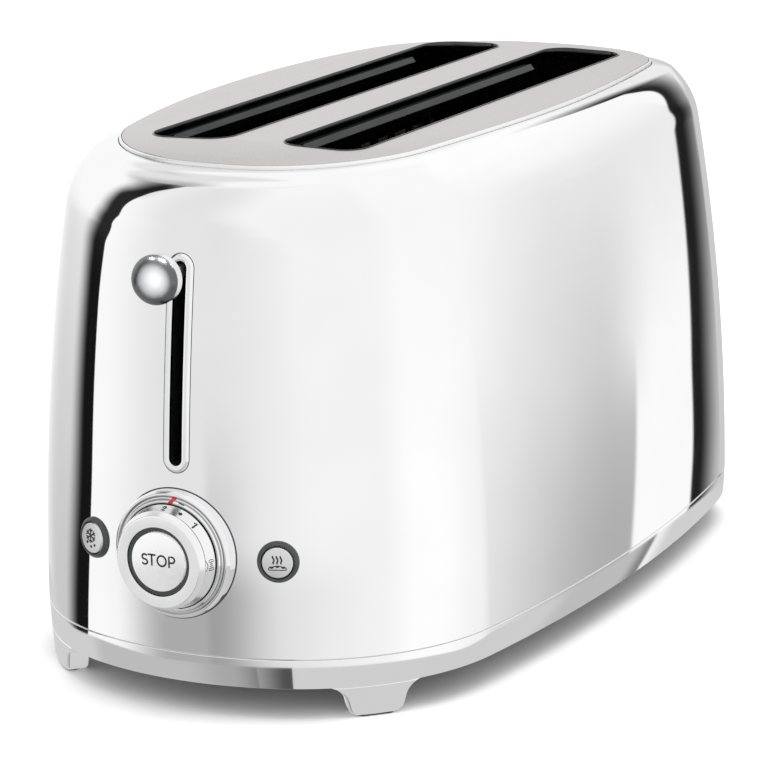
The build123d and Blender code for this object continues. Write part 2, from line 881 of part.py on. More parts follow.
with BuildPart() as guide_rod:
    with BuildSketch(Plane.XY.offset(base_top)):
        with Locations((-rod_x, 0)):
            Circle(rod_radius)
    extrude(amount=rod_top - base_top)

# Spring that pulls the carriage up, between its tab and the chassis plate's
with BuildPart() as return_spring:
    spring_bottom = carriage_shoulder + spring_wire_radius
    spring_length = spring_top - spring_wire_radius - spring_bottom
    spring_centre = (-carriage_front_x - spring_tab_width / 2, spring_y, spring_bottom)
    with BuildLine():
        coil = Helix(spring_length / spring_turns, spring_length, spring_radius, center=spring_centre)
    with BuildSketch(Plane(origin=coil @ 0, z_dir=coil % 0)):
        Circle(spring_wire_radius)
    sweep(path=coil, is_frenet=True)

magnet_x = carriage_front_x + magnet_gap + magnet_length / 2
with BuildPart() as electromagnet:
    for bottom, top, size_x, size_y in (
        (base_top, base_top + magnet_foot_height, magnet_length, magnet_width),
        (base_top + magnet_foot_height, magnet_coil_top, magnet_coil_size, magnet_coil_size),
        (magnet_coil_top, magnet_top, magnet_core_size, magnet_core_size),
    ):
        with BuildSketch(Plane.XY.offset(bottom)):
            with Locations((-magnet_x, magnet_y)):
                Rectangle(size_x, size_y)
        extrude(amount=top - bottom)

armature_length = magnet_x + magnet_length / 2 - carriage_front_x
with BuildPart() as armature_plate:
    with BuildSketch(Plane.XY.offset(magnet_top + armature_gap + lever_travel)):
        with Locations((-carriage_front_x - armature_length / 2, magnet_y)):
            Rectangle(armature_length, magnet_width)
    extrude(amount=armature_thickness)

# Ring round the dial: bevelled edge, crest, cove and inner lip, seated on the curved wall
with BuildPart() as dial_ring:
    with BuildSketch(turning_plane(0, dial_height)):
        with BuildLine():
            Polyline(
                (ring_root_out, ring_radius),
                (ring_edge_out, ring_radius),
                (ring_crest_out, ring_crest_radius),
            )
            ThreePointArc(
                (ring_crest_out, ring_crest_radius),
                (ring_cove_out, ring_cove_radius),
                (ring_lip_out, ring_lip_radius),
            )
            Polyline(
                (ring_lip_out, ring_lip_radius),
                (ring_lip_out, ring_bore_radius),
                (ring_root_out, ring_bore_radius),
                (ring_root_out, ring_radius),
            )
        make_face()
    revolve(axis=Axis((0, 0, dial_height), (1, 0, 0)))
    add(wall_body, mode=Mode.SUBTRACT)
    add(
        turned(
            0,
            dial_height,
            (ring_sleeve_out, ring_bore_radius),
            (ring_sleeve_out, ring_sleeve_radius),
            (ring_edge_out, ring_sleeve_radius),
            (ring_edge_out, ring_bore_radius),
        )
    )

# Red mark at the top of the ring, let into the cove
with BuildPart() as dial_marker:
    with BuildSketch(turning_plane(0, dial_height)):
        with BuildLine():
            ThreePointArc(
                (ring_crest_out, ring_crest_radius),
                (ring_cove_out, ring_cove_radius),
                (ring_lip_out, ring_lip_radius),
            )
            Line((ring_lip_out, ring_lip_radius), (ring_crest_out, ring_crest_radius))
        make_face()
    dial_axis = Axis((0, 0, dial_height), (1, 0, 0))
    revolve(axis=dial_axis, revolution_arc=marker_angle)

# Knob: a skirt with the markings, a neck, a bevelled face and a cup for the button
with BuildPart() as dial_knob:
    with BuildSketch(turning_plane(0, dial_height)):
        with BuildLine():
            Polyline(
                (dial_back_out, dial_skirt_bore),
                (dial_back_out, dial_skirt_radius),
                (dial_skirt_out, dial_skirt_radius),
                (dial_neck_out, dial_neck_radius),
                (dial_edge_out, dial_edge_radius),
            )
            TangentArc(
                (dial_edge_out, dial_edge_radius), (dial_face_out, dial_face_radius), tangent=(1, 0)
            )
            Polyline(
                (dial_face_out, dial_face_radius),
                (dial_face_out, dial_cup_radius),
                (dial_cup_out, dial_cup_radius),
                (dial_cup_out, shaft_radius),
                (dial_hub_out, shaft_radius),
                (dial_hub_out, dial_hub_radius),
                (dial_cup_out - dial_web, dial_hub_radius),
                (dial_cup_out - dial_web, dial_skirt_bore),
                (dial_back_out, dial_skirt_bore),
            )
        make_face()
    revolve(axis=dial_axis)

insert_bore = stop_radius + stop_gap
with BuildPart() as dial_insert:
    add(
        turned(
            0,
            dial_height,
            (dial_cup_out, insert_bore),
            (dial_cup_out, dial_cup_radius),
            (insert_out, dial_cup_radius),
            (insert_out, insert_bore),
        )
    )

shaft_bore = stop_stem_radius + fit_gap
with BuildPart() as dial_shaft:
    add(
        turned(
            0,
            dial_height,
            (shaft_out, shaft_bore),
            (shaft_out, shaft_radius),
            (dial_cup_out, shaft_radius),
            (dial_cup_out, shaft_bore),
        )
    )

stop_switch_out = board_out + stop_switch_depth
stop_stem_out = stop_switch_out + stop_travel + press_gap
with BuildPart() as stop_button:
    add(
        turned(
            0,
            dial_height,
            (stop_stem_out, 0),
            (stop_stem_out, stop_stem_radius),
            (stop_back_out, stop_stem_radius),
            (stop_back_out, stop_radius),
            (stop_out - stop_bevel, stop_radius),
            (stop_out, stop_radius - stop_bevel),
            (stop_out, 0),
        )
    )

# Control board: the timer's collar in which the shaft turns, and the switches
with BuildPart() as timer_pot:
    add(
        turned(
            0,
            dial_height,
            (board_out, shaft_radius + fit_gap),
            (board_out, pot_radius),
            (board_out + pot_depth, pot_radius),
            (board_out + pot_depth, shaft_radius + fit_gap),
        )
    )

board_screw_places = [
    (y, z) for y in (board_screw_y, -board_screw_y) for z in (board_screw_z, -board_screw_z)
]
board_back_out = board_out - board_thickness
with BuildPart() as control_board:
    with BuildSketch(front_plane(board_back_out, 0, dial_height)):
        Rectangle(board_width, board_height)
        with Locations(*board_screw_places):
            Circle(board_screw_radius + screw_gap, mode=Mode.SUBTRACT)
    extrude(amount=board_thickness)

with BuildPart() as control_bracket:
    with BuildSketch(front_plane(bracket_back_out, 0, 0)):
        with Locations((0, (base_top + dial_height + bracket_rise) / 2)):
            Rectangle(bracket_width, dial_height + bracket_rise - base_top)
        with Locations(*[(y, dial_height + z) for y, z in board_screw_places]):
            Circle(board_screw_radius + seat_gap, mode=Mode.SUBTRACT)
    extrude(amount=flange_thickness)
    with BuildSketch(Plane.XY.offset(base_top)):
        with Locations((-bracket_foot_x, 0)):
            Rectangle(bracket_foot, bracket_width)
        with Locations(*bracket_screws):
            Circle(base_screw_radius + seat_gap, mode=Mode.SUBTRACT)
    extrude(amount=flange_thickness)

with BuildPart() as board_screws:
    with BuildSketch(front_plane(board_out, 0, dial_height)):
        with Locations(*board_screw_places):
            Circle(board_screw_head_radius)
    extrude(amount=board_screw_head_height)
    with BuildSketch(front_plane(board_out, 0, dial_height)):
        with Locations(*board_screw_places):
            Circle(board_screw_radius)
    extrude(amount=-board_screw_length)

button_places = [(-button_offset, button_height), (button_offset, button_height)]
with BuildPart() as tact_switches:
    with BuildSketch(front_plane(board_out, 0, dial_height)):
        Circle(stop_switch_radius)
    extrude(amount=stop_switch_depth)
    with BuildSketch(front_plane(board_out, 0, 0)):
        with Locations(*button_places):
            Rectangle(button_switch_size, button_switch_size)
    extrude(amount=button_switch_depth)
    with BuildSketch(front_plane(board_out + button_switch_depth, 0, 0)):
        with Locations(*button_places):
            Circle(button_plunger_radius)
    extrude(amount=button_plunger_depth)


def button_bezel(y):
    """Dark ring of one button: it stands out square to the controls and goes through the wall."""
    bore = button_radius + button_gap
    with BuildPart() as bezel:
        add(
            turned(
                y,
                button_height,
                (ring_root_out - button_sleeve_radius, bore),
                (ring_root_out - button_sleeve_radius, button_ring_radius),
                (button_ring_out - button_ring_bevel, button_ring_radius),
                (button_ring_out, button_ring_radius - button_ring_bevel),
                (button_ring_out, bore),
            )
        )
        add(wall_body, mode=Mode.SUBTRACT)
        split(bisect_by=front_plane(button_sleeve_out, 0, 0), keep=Keep.TOP)
        add(
            turned(
                y,
                button_height,
                (button_sleeve_out, bore),
                (button_sleeve_out, button_sleeve_radius),
                (button_ring_out - button_ring_bevel, button_sleeve_radius),
                (button_ring_out - button_ring_bevel, bore),
            )
        )
    return bezel.part


def side_button(y):
    """Silver button: a disc in the ring's bore, and a stem that reaches its switch."""
    plunger_out = board_out + button_switch_depth + button_plunger_depth
    stem_out = plunger_out + button_travel + press_gap
    back_out = button_out - button_thickness
    return turned(
        y,
        button_height,
        (stem_out, 0),
        (stem_out, button_stem_radius),
        (back_out, button_stem_radius),
        (back_out, button_radius),
        (button_out - button_bevel, button_radius),
        (button_out, button_radius - button_bevel),
        (button_out, 0),
    )


# Crumb tray: a shallow pan as wide as the space between the rails, with a front in the band's outline
with BuildPart() as crumb_tray:
    with BuildSketch(Plane.XY.offset(tray_bottom)):
        with BuildLine():
            draw_outline(0)
        make_face()
        with Locations((wall_room - tray_start_x + half_length, 0)):
            Rectangle(2 * (half_length + wall_room), tray_width, mode=Mode.INTERSECT)
    extrude(amount=tray_front_height)
    with BuildSketch(Plane.XY.offset(tray_bottom + tray_floor)):
        with BuildLine():
            draw_outline(tray_front_depth)
        make_face()
        with Locations((wall_room - tray_start_x + half_length + tray_wall, 0)):
            Rectangle(2 * (half_length + wall_room), tray_width - 2 * tray_wall, mode=Mode.INTERSECT)
    extrude(amount=tray_front_height, mode=Mode.SUBTRACT)
    with BuildSketch(Plane.XY.offset(tray_bottom + tray_rim_height)):
        with BuildLine():
            draw_outline(tray_front_depth)
        make_face()
    extrude(amount=tray_front_height, mode=Mode.SUBTRACT)


def tray_rail(side):
    """Rail beside the tray, with a lip over its rim."""
    inside = tray_width / 2 + rail_gap
    with BuildPart() as rail:
        with BuildSketch(Plane.YZ.offset(rail_end_gap - well_half)):
            with Locations((side * (inside + rail_wall / 2), (base_top + rail_top) / 2)):
                Rectangle(rail_wall, rail_top - base_top)
            with Locations((side * (inside + (rail_wall - rail_lip) / 2), rail_top - rail_wall / 2)):
                Rectangle(rail_wall + rail_lip, rail_wall)
        extrude(amount=well_length - rail_end_gap + rail_overhang)
    return rail.part


# Cord outlet: a bush through the base plate, with a flange below
with BuildPart() as cord_gland:
    with BuildSketch(Plane.XY.offset(base_plate_bottom)):
        with Locations((gland_x, gland_y)):
            Circle(gland_flange_radius)
            Circle(gland_bore_radius, mode=Mode.SUBTRACT)
    extrude(amount=-gland_flange_thickness)
    with BuildSketch(Plane.XY.offset(base_plate_bottom)):
        with Locations((gland_x, gland_y)):
            Circle(gland_body_radius)
            Circle(gland_bore_radius, mode=Mode.SUBTRACT)
    extrude(amount=gland_height)

with BuildPart() as terminal_block:
    with BuildSketch(Plane.XY.offset(base_top)):
        with Locations((terminal_x, terminal_y)):
            Rectangle(terminal_length, terminal_width)
    extrude(amount=terminal_height)

with BuildPart() as terminal_screws:
    with BuildSketch(Plane.XY.offset(base_top + terminal_height)):
        with Locations((terminal_x, terminal_y)):
            with GridLocations(terminal_screw_pitch, 0, 3, 1):
                Circle(terminal_screw_radius)
    extrude(amount=terminal_screw_height)

pieces = {
    "base_band": base_band.part,
    "feet": feet.part,
    "foot_pads": foot_pads.part,
    "base_plate": base_plate.part,
    "base_screws": base_screws.part,
    "body_shell": body_shell.part,
    "top_rim": top_rim.part,
    "top_plate": top_plate.part,
    "slot_liner_far": slot_liner(1),
    "slot_liner_near": slot_liner(-1),
    "chassis_plate_front": chassis_plate_front.part,
    "chassis_plate_rear": chassis_plate_rear.part,
    "reflector_far": reflector(1),
    "reflector_near": reflector(-1),
    "lever_bezel": lever_bezel.part,
    "lever_knob": lever_knob.part,
    "lever_collar": lever_collar.part,
    "lever_stem": lever_stem.part,
    "carriage": carriage.part,
    "bread_rack_far": bread_rack(1),
    "bread_rack_near": bread_rack(-1),
    "armature_plate": armature_plate.part,
    "guide_rod": guide_rod.part,
    "return_spring": return_spring.part,
    "electromagnet": electromagnet.part,
    "dial_ring": dial_ring.part,
    "dial_marker": dial_marker.part,
    "dial_knob": dial_knob.part,
    "dial_insert": dial_insert.part,
    "dial_shaft": dial_shaft.part,
    "stop_button": stop_button.part,
    "timer_pot": timer_pot.part,
    "control_board": control_board.part,
    "control_bracket": control_bracket.part,
    "board_screws": board_screws.part,
    "tact_switches": tact_switches.part,
    "defrost_bezel": button_bezel(button_offset),
    "warm_bezel": button_bezel(-button_offset),
    "defrost_button": side_button(button_offset),
    "warm_button": side_button(-button_offset),
    "crumb_tray": crumb_tray.part,
    "tray_rail_far": tray_rail(1),
    "tray_rail_near": tray_rail(-1),
    "cord_gland": cord_gland.part,
    "terminal_block": terminal_block.part,
    "terminal_screws": terminal_screws.part,
}

# Heaters and guides, numbered from the far side to the near side
for number, (side, inward) in enumerate(((1, 1), (1, -1), (-1, 1), (-1, -1)), start=1):
    pieces[f"heater_card_{number}"] = heater_card(side, inward)
    pieces[f"heater_ribbon_{number}"] = heater_ribbon(side, inward)
    pieces[f"bread_guide_{number}"] = bread_guide(side, inward)

for name, piece in pieces.items():
    save(name, piece)
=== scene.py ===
import json
from math import asin, atan2, ceil, cos, degrees, hypot, pi, radians, sin, sqrt, tan

import bmesh
import bpy
from mathutils import Matrix, Vector
from mathutils.kdtree import KDTree

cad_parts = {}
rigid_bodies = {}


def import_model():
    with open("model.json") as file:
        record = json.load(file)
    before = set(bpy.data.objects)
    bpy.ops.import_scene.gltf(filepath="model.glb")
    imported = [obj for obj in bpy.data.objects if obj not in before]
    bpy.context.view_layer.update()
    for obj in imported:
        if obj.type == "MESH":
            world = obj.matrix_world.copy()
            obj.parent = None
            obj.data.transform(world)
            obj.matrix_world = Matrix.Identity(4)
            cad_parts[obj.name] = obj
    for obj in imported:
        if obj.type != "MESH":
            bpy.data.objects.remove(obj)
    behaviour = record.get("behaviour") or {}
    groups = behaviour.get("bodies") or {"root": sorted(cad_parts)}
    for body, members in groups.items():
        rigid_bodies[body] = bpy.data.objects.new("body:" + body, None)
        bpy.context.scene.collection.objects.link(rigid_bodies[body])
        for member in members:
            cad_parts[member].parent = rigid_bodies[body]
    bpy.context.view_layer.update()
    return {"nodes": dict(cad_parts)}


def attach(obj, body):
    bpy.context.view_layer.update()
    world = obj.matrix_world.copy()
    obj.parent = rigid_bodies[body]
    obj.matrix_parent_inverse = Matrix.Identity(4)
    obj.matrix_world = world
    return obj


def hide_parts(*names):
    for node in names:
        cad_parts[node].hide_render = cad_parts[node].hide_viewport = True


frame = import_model()

# Sizes are in millimetres about the middle of the body, as in the part's source. Finished pieces are
# moved along X by the frame shift and turned into metres.
MM = 0.001
frame_shift = 6.85
ink_rise = 0.04
ink_root = 0.1

body_length = 383.4
body_width = 208.0
side_radius = 817.0
end_radius = 122.6
corner_radius = 85.1
band_bottom = 12.6
band_top = 24.0
shoulder_start = 183.5
shell_top = 206.7
plate_top = 208.4
shell_wall = 1.2
lean_radius = 1000.0
shoulder_radius = 37.0
half_length = body_length / 2
end_centre = half_length - end_radius

# Controls, as distances beyond the end of the body
lever_height = 169.4
lever_slot_width = 5.4
lever_slot_top = 173.0
lever_slot_bottom = 96.5
lever_slot_offset = -0.6
bezel_width = 2.7
bezel_proud = 1.0
knob_out = 6.6
knob_depth = 7.1
knob_radius = 9.45
dial_height = 62.8
dial_hole_radius = 21.95
button_height = 62.6
button_offset = 39.6
button_shift = -0.8
button_hole_radius = 6.95


class Outline:
    """A plan outline of eight arcs, tangent to each other."""

    def __init__(self, length, width, side_radius, end_radius, corner_radius):
        self.end_x = length / 2 - end_radius
        self.side_y = width / 2 - side_radius
        self.end_radius = end_radius
        self.side_radius = side_radius
        self.corner_radius = corner_radius
        to_side = side_radius - corner_radius
        to_end = end_radius - corner_radius
        span = hypot(self.end_x, self.side_y)
        along = (to_side**2 - to_end**2 + span**2) / (2 * span)
        across = sqrt(to_side**2 - along**2)
        ux = self.end_x / span
        uy = -self.side_y / span
        self.corner_x = along * ux + across * uy
        self.corner_y = self.side_y + along * uy - across * ux
        self.end_angle = atan2(self.corner_y, self.corner_x - self.end_x)
        self.side_angle = atan2(self.corner_y - self.side_y, self.corner_x)

    def stations(self, spacing=2.5):
        """Stations round the outline: centre and radius of the station's arc, and its direction."""
        near = self.end_angle
        far = self.side_angle
        corner = (self.corner_x, self.corner_y, self.corner_radius)
        arcs = [
            (self.end_x, 0, self.end_radius, -near, near),
            (*corner, near, far),
            (0, self.side_y, self.side_radius, far, pi - far),
            (-corner[0], corner[1], corner[2], pi - far, pi - near),
            (-self.end_x, 0, self.end_radius, pi - near, pi + near),
            (-corner[0], -corner[1], corner[2], pi + near, pi + far),
            (0, -self.side_y, self.side_radius, pi + far, 2 * pi - far),
            (corner[0], -corner[1], corner[2], -far, -near),
        ]
        found = []
        for x, y, radius, start, end in arcs:
            steps = ceil(radius * (end - start) / spacing)
            for step in range(steps):
                angle = start + (end - start) * step / steps
                found.append((x, y, radius, cos(angle), sin(angle)))
        return found

    def arc_at(self, x, y):
        """Centre and radius of the arc that a point belongs to, in the quarter of +X and +Y."""
        angle = atan2(abs(y) - self.corner_y, abs(x) - self.corner_x)
        if angle < self.end_angle or (abs(x) - self.end_x > abs(y) and angle < 0):
            return self.end_x, 0, self.end_radius
        if angle > self.side_angle:
            return 0, self.side_y, self.side_radius
        return self.corner_x, self.corner_y, self.corner_radius

    def inset(self, x, y):
        """How far a point lies inside the outline."""
        centre_x, centre_y, radius = self.arc_at(x, y)
        return radius - hypot(abs(x) - centre_x, abs(y) - centre_y)

    def normal(self, x, y):
        """Direction away from the outline at a point near it."""
        centre_x, centre_y, _ = self.arc_at(x, y)
        plan = Vector((abs(x) - centre_x, abs(y) - centre_y)).normalized()
        return Vector((plan.x if x > 0 else -plan.x, plan.y if y > 0 else -plan.y))


body = Outline(body_length, body_width, side_radius, end_radius, corner_radius)


# Meshes
def ring_at(inset, z, stations):
    """The outline at an inset, at one height."""
    return [(x + (radius - inset) * c, y + (radius - inset) * s, z) for x, y, radius, c, s in stations]


def rounded(corners, closed=True, turn=radians(12)):
    """Points of a flat outline whose corners (a, b, radius) are rounded."""
    points = []
    for number, (a, b, radius) in enumerate(corners):
        here = Vector((a, b))
        at_end = not closed and number in (0, len(corners) - 1)
        if radius == 0 or at_end:
            points.append((a, b))
            continue
        back = (Vector(corners[number - 1][:2]) - here).normalized()
        on = (Vector(corners[(number + 1) % len(corners)][:2]) - here).normalized()
        half = back.angle(on) / 2
        start = here + back * radius / tan(half)
        centre = here + (back + on).normalized() * radius / sin(half)
        sweep = pi - 2 * half
        side = 1 if back.x * on.y - back.y * on.x < 0 else -1
        steps = max(2, ceil(sweep / turn))
        for step in range(steps + 1):
            arm = start - centre
            arm.rotate(Matrix.Rotation(side * sweep * step / steps, 2))
            points.append(tuple(centre + arm))
    return points


def skin(rings, closed=False, capped=False):
    """Points and faces of a skin over rings that all have the same number of points."""
    count = len(rings[0])
    points = [point for ring in rings for point in ring]
    faces = []
    for row in range(len(rings) if closed else len(rings) - 1):
        low = row * count
        high = (row + 1) % len(rings) * count
        for k in range(count):
            after = (k + 1) % count
            faces.append((low + k, low + after, high + after, high + k))
    if capped:
        faces.append(tuple(range(count)))
        faces.append(tuple(range(len(points) - count, len(points))))
    return points, faces


def new_object(name, points, faces, merge=True):
    """An object with a closed mesh from body millimetres, its faces turned outwards."""
    mesh = bpy.data.meshes.new(name)
    mesh.from_pydata([((x + frame_shift) * MM, y * MM, z * MM) for x, y, z in points], [], faces)
    tidy = bmesh.new()
    tidy.from_mesh(mesh)
    if merge:
        bmesh.ops.remove_doubles(tidy, verts=tidy.verts, dist=1e-6)
    bmesh.ops.recalc_face_normals(tidy, faces=tidy.faces)
    tidy.to_mesh(mesh)
    tidy.free()
    made = bpy.data.objects.new(name, mesh)
    bpy.context.scene.collection.objects.link(made)
    return made


def add_piece(name, points, faces, material, body, node, sharp=35):
    """Make a piece, shade it and let it ride on a CAD body; the node is not used."""
    piece = new_object(name, points, faces)
    piece.data.shade_smooth()
    piece.data.set_sharp_from_angle(angle=radians(sharp))
    piece.data.materials.append(material)
    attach(piece, body)
    return piece


def add_skin(name, points, faces, material, body, node, sharp=35):
    """A piece that stands for a CAD node."""
    piece = add_piece(name, points, faces, material, body, node, sharp)
    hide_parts(node)
    return piece


class Mount:
    """A place on the wall with its own directions: out, to the right as seen from outside, and up."""

    def __init__(self, origin, out):
        self.origin = Vector(origin)
        self.out = Vector(out).normalized()
        self.right = Vector((0, 0, 1)).cross(self.out).normalized()
        self.up = self.out.cross(self.right)

    def at(self, out, right, up):
        """A point at distances from the mount's origin."""
        return tuple(self.origin + self.out * out + self.right * right + self.up * up)

    def around(self, out, radius, angle):
        """A point at an angle clockwise from the top."""
        return self.at(out, radius * sin(angle), radius * cos(angle))


def turned(mount, section, segments=120):
    """Points and faces of a round shape about a mount's axis: the section's points are (out, radius)."""
    rings = []
    for k in range(segments):
        angle = 2 * pi * k / segments
        rings.append([mount.around(out, radius, angle) for out, radius in section])
    return skin(rings, closed=True)


def add_turned(name, mount, section, material, body, node, segments=120):
    """A turned piece that replaces a CAD node."""
    return add_skin(name, *turned(mount, section, segments), material, body, node)


def joined(shapes):
    """Points and faces of several shapes together."""
    points = []
    faces = []
    for more_points, more_faces in shapes:
        faces += [tuple(k + len(points) for k in face) for face in more_faces]
        points += more_points
    return points, faces


def stroke(surface, path, width, closed=False):
    """A line of ink with round ends along a path of (a, b) points on a surface."""
    spots = [Vector(point) for point in path]
    count = len(spots)
    marks = []
    for k, spot in enumerate(spots):
        before = spots[k - 1] if k > 0 or closed else spot
        after = spots[(k + 1) % count] if k < count - 1 or closed else spot
        marks.append((spot, (after - before).normalized(), width / 2))
    if not closed:
        head, head_way, _ = marks[0]
        tail, tail_way, _ = marks[-1]
        for angle in (radians(40), radians(80)):
            reach = width / 2 * sin(angle)
            half = width / 2 * cos(angle)
            marks.insert(0, (head - head_way * reach, head_way, half))
            marks.append((tail + tail_way * reach, tail_way, half))
    rings = []
    for spot, way, half in marks:
        side = Vector((-way.y, way.x)) * half
        left = spot + side
        right = spot - side
        edges = ((left, ink_rise), (right, ink_rise), (right, -ink_root), (left, -ink_root))
        rings.append([surface(place.x, place.y, rise) for place, rise in edges])
    return skin(rings, closed=closed, capped=not closed)


def blot(surface, outline):
    """A filled patch of ink."""
    rings = [[surface(a, b, rise) for a, b in outline] for rise in (-ink_root, ink_rise)]
    return skin(rings, capped=True)


def strokes(surface, paths, width):
    """Several open lines of ink of one width."""
    return [stroke(surface, path, width) for path in paths]


def arc_path(a, b, radius_a, radius_b, start, end, steps=14):
    """Points of an elliptic arc, with its angles in degrees."""
    points = []
    for k in range(steps + 1):
        angle = radians(start + (end - start) * k / steps)
        points.append((a + radius_a * cos(angle), b + radius_b * sin(angle)))
    return points


def cut(piece, *cutters):
    """Cut the cutters' volumes out of a piece, and remove the cutters."""
    for cutter in cutters:
        change = piece.modifiers.new("cut", "BOOLEAN")
        change.operation = "DIFFERENCE"
        change.solver = "EXACT"
        change.object = cutter
    bpy.context.view_layer.update()
    graph = bpy.context.evaluated_depsgraph_get()
    result = bpy.data.meshes.new_from_object(piece.evaluated_get(graph))
    piece.modifiers.clear()
    piece.data = result
    for cutter in cutters:
        bpy.data.objects.remove(cutter)


def prism(shape, low_x, high_x):
    """A cutter along X through the outline whose points are Y and Z."""
    rings = [[(x, y, z) for y, z in shape] for x in (low_x, high_x)]
    return new_object("cutter", *skin(rings, capped=True), merge=False)


def on_wall(shape, section):
    """A trim that lies on the wall: the shape has (y, z, away y, away z), the section (away, proud)."""
    rings = []
    for away, proud in section:
        rings.append([tuple(end_wall(y + dy * away, z + dz * away, proud)) for y, z, dy, dz in shape])
    return skin(rings, closed=True)


def directions(count):
    """Cosine and sine of evenly spaced directions round a circle."""
    return [(cos(2 * pi * k / count), sin(2 * pi * k / count)) for k in range(count)]


def circle(a, b, radius, count=96):
    """Points of a circle."""
    return [(a + radius * c, b + radius * s) for c, s in directions(count)]


def dot(surface, a, b, half_a, half_b):
    """An oval dot of ink."""
    return blot(surface, [(a + half_a * c, b + half_b * s) for c, s in directions(12)])


def racetrack(y, width, top, bottom, steps=16, runs=20):
    """An upright slot with round ends: its points, each with the direction away from the slot."""
    radius = width / 2
    points = []
    for middle, other, start in ((top - radius, bottom + radius, 0), (bottom + radius, top - radius, pi)):
        for step in range(steps + 1):
            angle = start + pi * step / steps
            away = (cos(angle), sin(angle))
            points.append((y + radius * away[0], middle + radius * away[1], *away))
        for step in range(1, runs):
            height = middle + (other - middle) * step / runs
            points.append((y + radius * away[0], height, away[0], 0.0))
    return points


# Body wall: inset and slope at each height
lean_end = asin((shoulder_start - band_top) / lean_radius)
turn_inset = lean_radius - (lean_radius - shoulder_radius) * cos(lean_end) - shoulder_radius
turn_height = band_top + (lean_radius - shoulder_radius) * sin(lean_end)


def wall_at(slope, depth=0):
    """Inset and height of the wall where it slopes by an angle, at a depth under its face."""
    if slope <= lean_end:
        radius = lean_radius - depth
        return lean_radius - radius * cos(slope), band_top + radius * sin(slope)
    radius = shoulder_radius - depth
    return turn_inset + shoulder_radius - radius * cos(slope), turn_height + radius * sin(slope)


def wall_slope(z):
    """Slope of the wall at a height."""
    if z <= shoulder_start:
        return asin(max(0, z - band_top) / lean_radius)
    return asin(min(1, (z - turn_height) / shoulder_radius))


def wall_normal(x, y, z):
    """Direction that the wall faces at a point on it, below the shoulder."""
    plan = body.normal(x, y)
    slope = wall_slope(z)
    return Vector((plan.x * cos(slope), plan.y * cos(slope), sin(slope)))


# Top cover: a plate whose edge falls a little, most of all at both ends
cover = Outline(311.4, 151.8, 560.0, 200.0, 61.0)
cover_fall = 3.3
cover_fall_length = 155.0
cover_blend = 36.0
cover_edge = 1.4


def cover_edge_height(x):
    """Height of the cover's top edge."""
    return plate_top - 0.1 - cover_fall * (abs(x) / cover_fall_length) ** 3


def cover_height(x, y):
    """Height of the cover's face."""
    share = min(1, max(0, cover.inset(x, y)) / cover_blend)
    low = cover_edge_height(x)
    return low + (plate_top - low) * (1 - (1 - share) ** 2)


def cover_edge_ring(inset, drop, spacing=2.5):
    """A ring under the cover's top edge."""
    ring = ring_at(inset, 0, cover.stations(spacing))
    return [(x, y, cover_edge_height(x) - drop) for x, y, _ in ring]


cover_ring = [Vector(point[:2]) for point in cover_edge_ring(-0.4, 0, 0.6)]


def cover_joint(station):
    """Inset and height at which the body meets the cover, at one station of the body's outline."""
    x, y, radius, c, s = station
    best = None
    for point in cover_ring:
        across = (point.y - y) * c - (point.x - x) * s
        along = (point.x - x) * c + (point.y - y) * s
        if abs(across) < 0.7 and (best is None or along > best):
            best = along
    px = x + best * c
    return radius - best, cover_edge_height(px) - cover_edge


blend_slope = radians(45)
crown_start = 176.0
crown_fall = 4.0
joint_slope = radians(6)


def crowned(x, z):
    """Height of a point of the shoulder: it falls towards both ends."""
    share = min(1, max(0, (z - crown_start) / (shell_top - crown_start)))
    return z - crown_fall * (abs(x) / cover_fall_length) ** 4 * share * share * (3 - 2 * share)


def shoulder_point(station, joint, place, depth=0):
    """Point of the shoulder: place goes from 0 at the lean's end, by 1 at 45 degrees, to 2 at the cover."""
    x, y, radius, c, s = station

    def lowered(slope):
        inset, z = wall_at(slope, depth)
        return inset, crowned(x + (radius - inset) * c, z)

    if place <= 1:
        inset, z = lowered(lean_end + (blend_slope - lean_end) * place)
    else:
        start = Vector(lowered(blend_slope))
        ahead = (start - Vector(lowered(blend_slope - 0.01))).normalized()
        end = Vector((joint[0], joint[1] - depth))
        rise = tan(joint_slope)
        reach = (end.y - start.y - rise * (end.x - start.x)) / (ahead.y - rise * ahead.x)
        bend = start + ahead * reach
        share = place - 1
        inset, z = start * (1 - share) ** 2 + bend * (2 * share * (1 - share)) + end * share**2
    return Vector((x + (radius - inset) * c, y + (radius - inset) * s, z))


def end_wall(y, z, proud=0):
    """Point at a distance out from the wall at the controls' end."""
    inset, _ = wall_at(wall_slope(z))
    radius = end_radius - inset
    point = Vector((-end_centre - sqrt(radius**2 - y**2), y, z))
    return point + wall_normal(*point) * proud


# Materials
def add_node(tree, kind, settings):
    """A shader node whose inputs are set to values or joined to other nodes' outputs."""
    node = tree.nodes.new("ShaderNode" + kind)
    for name, value in settings.items():
        if isinstance(value, bpy.types.NodeSocket):
            tree.links.new(value, node.inputs[name])
        else:
            node.inputs[name].default_value = value
    return node


